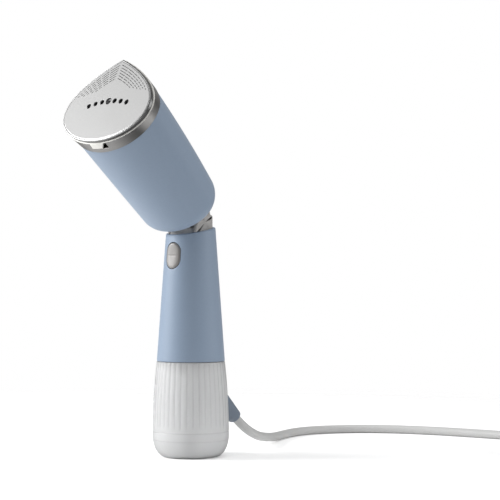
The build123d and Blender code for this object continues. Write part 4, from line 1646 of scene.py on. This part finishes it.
# --- the head ------------------------------------------------------------------------------------
@dataclass
class Head:
    """The tilting head: its steam plate, collar, tab, seal, casing and the fork that it turns on."""

    plate_tilt: float = PLATE_TILT
    end_tilt: float = 56.1
    fork_tilt: float = 46.2
    plate: Leaf = Leaf(46.9, 43.0, 28.0, 1.0)
    mouth: Leaf = Leaf(45.0, 39.0, 32.4, 1.0)
    waist: Leaf = Leaf(40.6, 32.0, 29.4, 0.2)
    end: Leaf = Leaf(36.2, 26.6, 26.2, 0.0)
    collar_foot: Leaf = Leaf(45.5, 39.4, 32.8, 1.0)
    mouth_middle: float = -41.5
    collar_depth: float = 12.0
    end_y: float = -7.3
    end_z: float = 194.9
    end_round: float = 12.6
    casing_long: float = 104.5
    wall: float = 2.2
    thick: float = 3.0
    seal: float = 0.6
    hole_step: float = 6.94
    hole_row: float = -36.55
    hole_bow: float = 0.292
    hole_radius: float = 1.9
    nozzle_radius: float = 2.6
    columns: int = 320

    def __post_init__(self) -> None:
        """Finds the plate's frame from its box, and the pivot from its joint."""
        low, high = span("steam_plate")
        long = (self.plate.top + self.plate.bottom) * math.cos(math.radians(self.plate_tilt))
        self.frame = Lean(self.plate_tilt, low[1] + long, high[2] + 0.05)
        self.pivot = pivot_of("head_tilt")
        self.share = np.arange(self.columns) * 4 / self.columns

    def plate_outline(self, inwards: float | Array, share: Array | None = None) -> Array:
        """The plate's outline, a distance in from its edge, in the plate's frame."""
        return self.plate.at(self.share if share is None else share, -inwards) - (0, self.plate.top)

    def steam_holes(self) -> list[tuple[Array, float]]:
        """Returns the middle and the radius of each steam hole, on a shallow arc."""
        steps = range(-3, 4)
        spots = [np.array([i * self.hole_step, self.hole_row - self.hole_bow * i * i]) for i in steps]
        return [(spot, self.nozzle_radius if i == 0 else self.hole_radius) for i, spot in zip(steps, spots)]

    def dashes(self) -> list[Array]:
        """Outlines of the engraved dashes: rows inside the upper edge, each shorter than the last.

        A row is the plate's outline, scaled inwards, so that it follows the edge on both sides of a
        gap in the middle. Its dashes shrink from the tip towards the sides, down to dots, and it
        stops where it is low enough. A dash is a slot of a steady width along its row.

        Returns:
            The outlines, in the plate's frame.
        """
        rows, first, spacing, half_wide, low_end = 6, 4.4, 2.35, 0.27, -31.0
        lengths = [9.8, 7.9, 4.9, 3.9, 3.2, 2.6, 2.1, 1.7, 1.4, 1.2, 1.0, 0.9, 0.8, 0.8, 0.8, 0.8]
        found = []
        fine = np.linspace(1.0, 0.0, 1500)
        bend = np.linspace(-math.pi / 2, math.pi / 2, 6)[1:-1]
        end_x, end_y, side = half_wide * np.cos(bend), half_wide * np.sin(bend), np.full(7, half_wide)
        aside = np.concatenate([-side, end_y, side, -end_y])
        for row in range(rows):
            line = self.plate_outline(first + spacing * row, fine)
            travel = np.concatenate([[0], np.cumsum(np.linalg.norm(np.diff(line, axis=0), axis=1))])
            start = 1.3 + 0.25 * (row % 2)
            for number, length in enumerate(lengths):
                length *= 1 - 0.07 * row
                stop = start + length
                middle = np.interp((start + stop) / 2, travel, line[:, 1])
                if middle < low_end + 0.9 * row or stop > travel[-1]:
                    break
                inner = np.linspace(start + half_wide, max(stop - half_wide, start + half_wide + 0.05), 7)
                along = np.concatenate([inner, inner[-1] + end_x, inner[::-1], inner[0] - end_x])
                spot = np.stack([np.interp(along, travel, line[:, k]) for k in range(2)], -1)
                ahead = np.stack([np.interp(along + 0.1, travel, line[:, k]) for k in range(2)], -1) - spot
                ahead /= np.linalg.norm(ahead, axis=1, keepdims=True)
                outline = spot + aside[:, None] * np.stack([-ahead[:, 1], ahead[:, 0]], -1)
                found += [outline, outline[::-1] * (-1, 1)]
                start = stop + 0.95 + 0.09 * number
        return found

    def steam_plate(self) -> Piece:
        """Makes the plate: a flat field with engraved dashes and steam holes, and a rolled bright rim.

        Returns:
            The piece.
        """
        field_in, field_z, chamfer, rim_rows = 2.0, -0.12, 0.35, 12
        roll_in, roll_down = edge_turn(0.8, 9)
        ring_in = np.concatenate([[field_in, 1.6, 1.2], roll_in, [0.0, 0.15, 0.5, 3.0]])
        ring_z = np.concatenate([[field_z, field_z - 0.1, -0.04], -roll_down, [-2.75, -2.92, -3.0, -3.0]])
        rings = lift(self.plate_outline(ring_in[:, None]), ring_z[:, None])
        dashes, holes = self.dashes(), self.steam_holes()
        unit = np.stack([np.cos(around(32)), np.sin(around(32))], -1)
        circles = [spot + radius * unit for spot, radius in holes]
        lips = [spot + (c - spot) * (1 + chamfer / radius) for c, (spot, radius) in zip(circles, holes)]
        top = fill(rings[0, :, :2], [*lips, *dashes], field_z)
        under = fill(rings[-1, :, :2], circles, -self.thick)
        patches = [top, under, grid(rings[:rim_rows], material=1), grid(rings[rim_rows - 1 :], material=4)]
        for lip, circle in zip(lips, circles):
            halfway = lift((lip + circle) / 2, field_z - 0.08)
            edge = [lift(lip, field_z), halfway, lift(circle, field_z - chamfer)]
            patches.append(grid(np.stack(edge), material=1))
            # the hole's wall below its chamfer takes the near-black nozzle finish: painted shade inside the
            # steam hole
            patches.append(grid(np.stack([edge[-1], lift(circle, -self.thick)]), material=2))
        for dash in dashes:
            floor = lift(dash + (dash.mean(axis=0) - dash) * 0.08, field_z - 0.25)
            rows = np.concatenate([lift(dash, field_z)[None], floor[None], pole(floor)])
            patches.append(grid(rows, material=3))
        for patch in patches:
            patch.points = self.frame.place(patch.points)
        finishes = [PlateCoat(), Finish.RIM, Finish.NOZZLE_PAINTED_SHADE, Finish.ENGRAVED, Finish.SIDE]
        piece = make_piece("pointed_plate", patches, [finish(kind) for kind in finishes])
        return stand_for(piece, "head", "plate_metal", "steam_plate")

    def nozzle(self) -> Piece:
        """Makes the middle hole's nozzle: a turned sleeve with a small outlet and a raised lip.

        Returns:
            The piece.
        """
        bore, outer, face, end = 0.9, self.nozzle_radius - 0.5, -0.95, -4.2
        lip = [(outer - 0.35, face), (outer - 0.1, face + 0.15), (outer, face - 0.15)]
        profile = np.array([(bore, face), *lip, (outer, end), (bore, end)])
        points = self.frame.place(turned(profile, 48) + (*self.steam_holes()[3][0], 0.0))
        piece = make_piece("steam_nozzle", [grid(points, rows_close=True)], [finish(Finish.NOZZLE_PAINTED_SHADE)])
        return stand_for(piece, "head", "nozzle_grey", "centre_nozzle")

    def seal_ring(self) -> Piece:
        """Makes the thin white seal that shows between the plate and the collar.

        Returns:
            The piece.
        """
        top = -self.thick
        turn = np.linspace(-math.pi / 2, math.pi / 2, 7)
        inwards = np.concatenate([[3.0, 3.0], -0.65 - 0.28 * np.cos(turn)])
        depth = np.concatenate([[top, top - self.seal], top - self.seal / 2 * (1 - np.sin(turn))])
        rings = self.frame.place(lift(self.plate_outline(inwards[:, None]), depth[:, None]))
        piece = make_piece("white_seal", [grid(rings, rows_close=True)], [finish(Finish.SEAL)])
        return stand_for(piece, "head", "seal_white", "plate_seal")

    def collar(self) -> Piece:
        """Makes the brushed collar: a tapering ring with a notch in its edge where the tab sits.

        The notch's floor is lower than the rim by a share of the collar's depth. Columns stand at its
        corners, and those right of it lean out towards the collar's foot.

        Returns:
            The piece.
        """
        top_z, foot_z, proud, wall = -self.thick - self.seal, -self.collar_depth, 0.9, 1.2
        left, left_foot, right, lean, floor = -8.4, -6.4, 8.9, 0.6, 0.6
        marks, tall = [left, left_foot, right, right + 0.02], top_z - foot_z
        dense = np.linspace(2.5, 3.5, 2001)
        x_of = self.plate_outline(-proud, dense)[:, 0]
        near = np.linspace(*np.interp([-14, 16], x_of, dense), 61)
        share = np.unique(np.concatenate([self.share, near, np.interp(marks, x_of, dense)]))
        x_top = self.plate_outline(-proud, share)[:, 0]
        lower = (share > 2) & (share < 4)
        cut = np.where(lower, np.interp(x_top, marks, [0, floor, floor, 0], 0, 0), 0)
        edge_in, edge_down = edge_turn(0.3, 4)
        side = np.linspace(0.06, 0.94, 12)
        levels = np.concatenate([edge_down / tall, side, 1 - edge_down[::-1] / tall, [1.0, 0.5, 0.0]])
        deep = np.concatenate([edge_in, 0 * side, edge_in[::-1], np.full(3, wall)])
        level = cut[None, :] + (1 - cut[None, :]) * levels[:, None]
        bump = np.interp(x_top, [right - 0.3, right + 0.02, right + 12], [0, 1, 0]) * lower
        to_share = np.interp(1.0, x_of, dense) - np.interp(0.0, x_of, dense)
        moved = share[None, :] + bump * lean * np.minimum(level / floor, 1) * to_share
        rim = self.plate_outline(deep[:, None] - proud, moved)
        foot = self.collar_foot.at(moved, -deep[:, None]) + (0, self.mouth_middle)
        flat = rim + (foot - rim) * level[..., None]
        rings = self.frame.place(lift(flat, top_z + (foot_z - top_z) * level))
        piece = make_piece("brushed_collar", [grid(rings, rows_close=True)], [finish(Finish.COLLAR)])
        return stand_for(piece, "head", "collar_metal", "collar")

    def tab(self) -> Piece:
        """Makes the white tab in the collar's notch: a tapering pad with rounded edges and a ridge.

        Returns:
            The piece.
        """
        top_z, foot_z, rows, cols = -self.thick - self.seal, -8.2, 19, 41
        edge, thick, behind, tall = 0.5, 1.6, -73.0, top_z - foot_z
        p, q = np.meshgrid(np.linspace(-1, 1, cols), np.linspace(0, 1, rows))
        p, q = np.sin(p * math.pi / 2), (1 - np.cos(q * math.pi)) / 2
        left, right = -8.2 - 0.4 * q, 6.6 - 4.0 * q
        x = (left + right) / 2 + p * (right - left) / 2
        depth = top_z + (foot_z - top_z) * q
        rim_y = np.interp(x, *self.lower_edge(self.plate_outline(-0.9)))
        foot_y = np.interp(x, *self.lower_edge(self.collar_foot.at(self.share) + (0, self.mouth_middle)))
        level = (depth - top_z) / (-self.collar_depth - top_z)
        side = np.minimum.reduce([x - left, right - x, q * tall, (1 - q) * tall])
        drop = edge - np.sqrt(edge**2 - np.clip(edge - side, 0, edge) ** 2)
        ridge = 0.22 * np.exp(-(((q - 0.84) / 0.07) ** 2)) * (np.abs(p) < 0.93)
        front = rim_y + (foot_y - rim_y) * level - 0.28 + drop - ridge
        shell = np.stack([x, front, depth], -1)
        back = np.stack([x, np.maximum(front + thick, behind), depth], -1)
        loops = np.concatenate([shell, back[:, ::-1]], axis=1)
        caps = [grid(np.stack([shell[k], back[k]]), columns_close=False) for k in (0, -1)]
        patches = [grid(loops), *caps]
        for patch in patches:
            patch.points = self.frame.place(patch.points)
        piece = make_piece("release_tab", patches, [finish(Finish.SEAL)])
        return stand_for(piece, "head", "seal_white", "latch_tab")

    @staticmethod
    def lower_edge(outline: Array) -> tuple[Array, Array]:
        """The x and y of an outline's lower half, from left to right, to look heights up in.

        Args:
            outline: A closed outline.

        Returns:
            Its x and its y.
        """
        low = outline[outline[:, 1] < outline[:, 1].mean()]
        order = np.argsort(low[:, 0])
        return low[order, 0], low[order, 1]

    def section(self, share: Array, inwards: Array, morph: Array) -> Array:
        """Sections of the casing from its mouth to its end.

        The outline of a section is a quadratic blend of the mouth's, the waist's and the end's, and
        its lean changes evenly from the plate's to the end's. It is moved in from the outline by a
        distance, and near the end's middle it turns into the slot that the fork comes out of.

        Args:
            share: How far along the head each row is, 0 at the mouth and 1 at the end.
            inwards: How far inside the outline each row is.
            morph: 0 for the outline's shape, 1 for the slot's.

        Returns:
            Rows by columns by 3, in the steamer's frame.
        """
        t = share[:, None, None]
        first, second, third = (1 - t) * (1 - 2 * t), 4 * t * (1 - t), t * (2 * t - 1)
        shapes = [leaf.at(self.share)[None] for leaf in (self.mouth, self.waist, self.end)]
        flat = inset(first * shapes[0] + second * shapes[1] + third * shapes[2], inwards[:, None, None])
        slot = self.fork_slot(flat[-1])
        flat = flat + (slot - flat) * morph[:, None, None]
        mouth = self.frame.place(np.array([0.0, self.mouth_middle, -self.collar_depth]))
        y = mouth[1] + (self.end_y - mouth[1]) * share[:, None]
        z = mouth[2] + (self.end_z - mouth[2]) * share[:, None]
        tilt = np.radians(self.plate_tilt + (self.end_tilt - self.plate_tilt) * share[:, None])
        up = flat[..., 1]
        return np.stack([flat[..., 0], y + up * np.cos(tilt), z + up * np.sin(tilt)], -1)

    def fork_slot(self, outline: Array) -> Array:
        """The slot's outline in the end's plane: a rounded box about the head's axis through the pivot.

        Args:
            outline: The end's outline, which gives the directions of the points.

        Returns:
            The outline, in the plane of the end.
        """
        a, b = math.radians(self.fork_tilt), math.radians(self.end_tilt)
        out_a, out_b = np.array([-math.sin(a), math.cos(a)]), np.array([-math.sin(b), math.cos(b)])
        away = np.array([self.end_y, self.end_z]) - self.pivot[1:]
        spot = out_a * (away @ out_b) / (out_a @ out_b)
        middle = (spot - away) @ np.array([math.cos(b), math.sin(b)])
        angles = np.arctan2(outline[:, 1] - middle, outline[:, 0])
        half_wide, half_tall, squareness = 11.95, 11.35, 14.0
        return superellipse(half_wide, half_tall, squareness, angles) + (0, middle)

    def casing(self) -> Piece:
        """Makes the casing: outside, rounded end, slot and inside as one closed wall.

        Returns:
            The piece.
        """
        lip_in, lip_down = edge_turn(0.4, 4)
        turn = np.linspace(0, math.pi / 2, 22)
        long = self.casing_long
        straight = 1 - self.end_round / long
        bend = straight + self.end_round / long * np.sin(turn[1:])
        outer = np.concatenate([lip_down / long, np.linspace(0.008, straight, 64), bend])
        outer_in = np.concatenate([lip_in, np.zeros(64), self.end_round * (1 - np.cos(turn[1:]))])
        flat = np.linspace(0, 1, 8)[1:]
        inner_end = 1 - self.wall / long
        inner = inner_end - (1 - straight - self.wall / long) * (1 - np.sin(turn))
        inner_in = self.wall + (self.end_round - self.wall) * (1 - np.cos(turn))
        down = np.linspace(straight, 0.0, 24)[1:]
        share = np.concatenate([outer, np.ones(7), np.full(8, inner_end), inner[::-1], down])
        ends = np.full(15, self.end_round)
        inwards = np.concatenate([outer_in, ends, inner_in[::-1], np.full(len(down), self.wall)])
        morph = np.concatenate([0 * outer, flat, [1.0], flat[::-1], 0 * inner, 0 * down])
        rings = self.section(share, inwards, morph)
        piece = make_piece("head_shell", [grid(rings, rows_close=True)], [finish(Finish.CASING)])
        return stand_for(piece, "head", "casing_blue", "head_casing")

    def fork(self) -> Piece:
        """Makes the fork: two rounded cheeks on a base plate, and two rails inside the casing.

        Returns:
            The piece.
        """
        drum, inner, outer, base_z = 11.0, 5.2, 11.7, 12.0
        arc = np.linspace(math.pi, 2 * math.pi, 49)
        sides = np.linspace(0.4, 12.2, 12)
        outline = np.concatenate([
            np.stack([drum * np.cos(arc), drum * np.sin(arc)], -1),
            np.stack([np.full(12, drum), sides], -1),
            np.stack([np.linspace(drum - 0.8, -drum + 0.8, 16), np.full(16, 12.5)], -1),
            np.stack([np.full(12, -drum), sides[::-1]], -1),
        ])
        place = Lean(self.fork_tilt, self.pivot[1], self.pivot[2]).place
        patches = []
        for side in (-1, 1):
            cheek = rounded_prism(outline, inner, outer, 1.3)
            patches.append(grid(place(np.stack([side * cheek[..., 2], cheek[..., 0], cheek[..., 1]], -1))))
            rail = rounded_prism(superellipse(1.5, 4.0, 8.0, around(40)), base_z + 2.5, 84.0, 0.5)
            patches.append(grid(place(rail + (side * 19.0, -1.0, 0))))
        base = rounded_prism(superellipse(24.0, 12.0, 9.0, around(96)), base_z, base_z + 3.0, 0.6)
        patches.append(grid(place(base + (0, -1.0, 0))))
        piece = make_piece("tilt_fork", patches, [finish(Finish.NECK)])
        return stand_for(piece, "head", "neck_grey", "hinge_fork")

    def covers(self) -> Piece:
        """Makes the two round covers over the pin's ends, each with a shallow ring.

        Returns:
            The piece.
        """
        patches = []
        face, root, radius = 11.66, 9.9, 2.95
        ring = [(1.7, face), (1.95, face - 0.16), (2.2, face), (2.7, face), (radius, face - 0.26)]
        shape = turned(np.array([(0, face), *ring, (radius, root), (0, root)]), 48)
        for side in (-1, 1):
            points = np.stack([side * shape[..., 2], shape[..., 0], shape[..., 1]], -1) + self.pivot
            patches.append(grid(points))
        piece = make_piece("pin_buttons", patches, [finish(Finish.NECK)])
        return stand_for(piece, "head", "neck_grey", "pin_covers")

    def build(self) -> None:
        """Makes the head's pieces."""
        self.steam_plate()
        self.nozzle()
        self.seal_ring()
        self.collar()
        self.tab()
        self.casing()
        self.fork()
        self.covers()


# --- the inside ----------------------------------------------------------------------------------
CARRIED: dict[Finish, tuple[str, ...]] = {
    Finish.FRAME: ("dock_plug", "inner_chassis", "button_frame", "heat_shield", "cable_clamp", "pump_body"),
    Finish.BRIGHT: (
        "chassis_screws", "clamp_screws", "chamber_screws", "heater_terminals", "button_spring", "hinge_pin",
    ),
    Finish.CAST: ("steam_chamber", "chamber_cover", "heating_element"),
    Finish.BLACK: ("microswitch", "board_parts", "thermostat", "thermal_fuse"),
    Finish.SILICONE: (
        "intake_tube", "outlet_tube", "pickup_hose", "steam_inlet_tube", "pump_mounts", "hinge_washers",
    ),
    Finish.SEAL: ("dock_seal",),
    Finish.BOARD: ("circuit_board",),
    Finish.COPPER: ("pump_coil",),
    Finish.FILTER: ("pickup_filter",),
    Finish.WIRE: ("supply_wires",),
}


def dress_inside() -> None:
    """Gives every CAD node that stays its finish."""
    for kind, names in CARRIED.items():
        for name in names:
            for slot in frame["nodes"][name].material_slots:
                slot.material = finish(kind)
            log.info("%s is dressed in %s", name, kind.value.name)


def main() -> None:
    """Builds the steamer's looks in order."""
    Studio().build()
    Lead().build()
    Tank().build()
    Handle().build()
    Head().build()
    dress_inside()


if __name__ == "__main__":
    main()
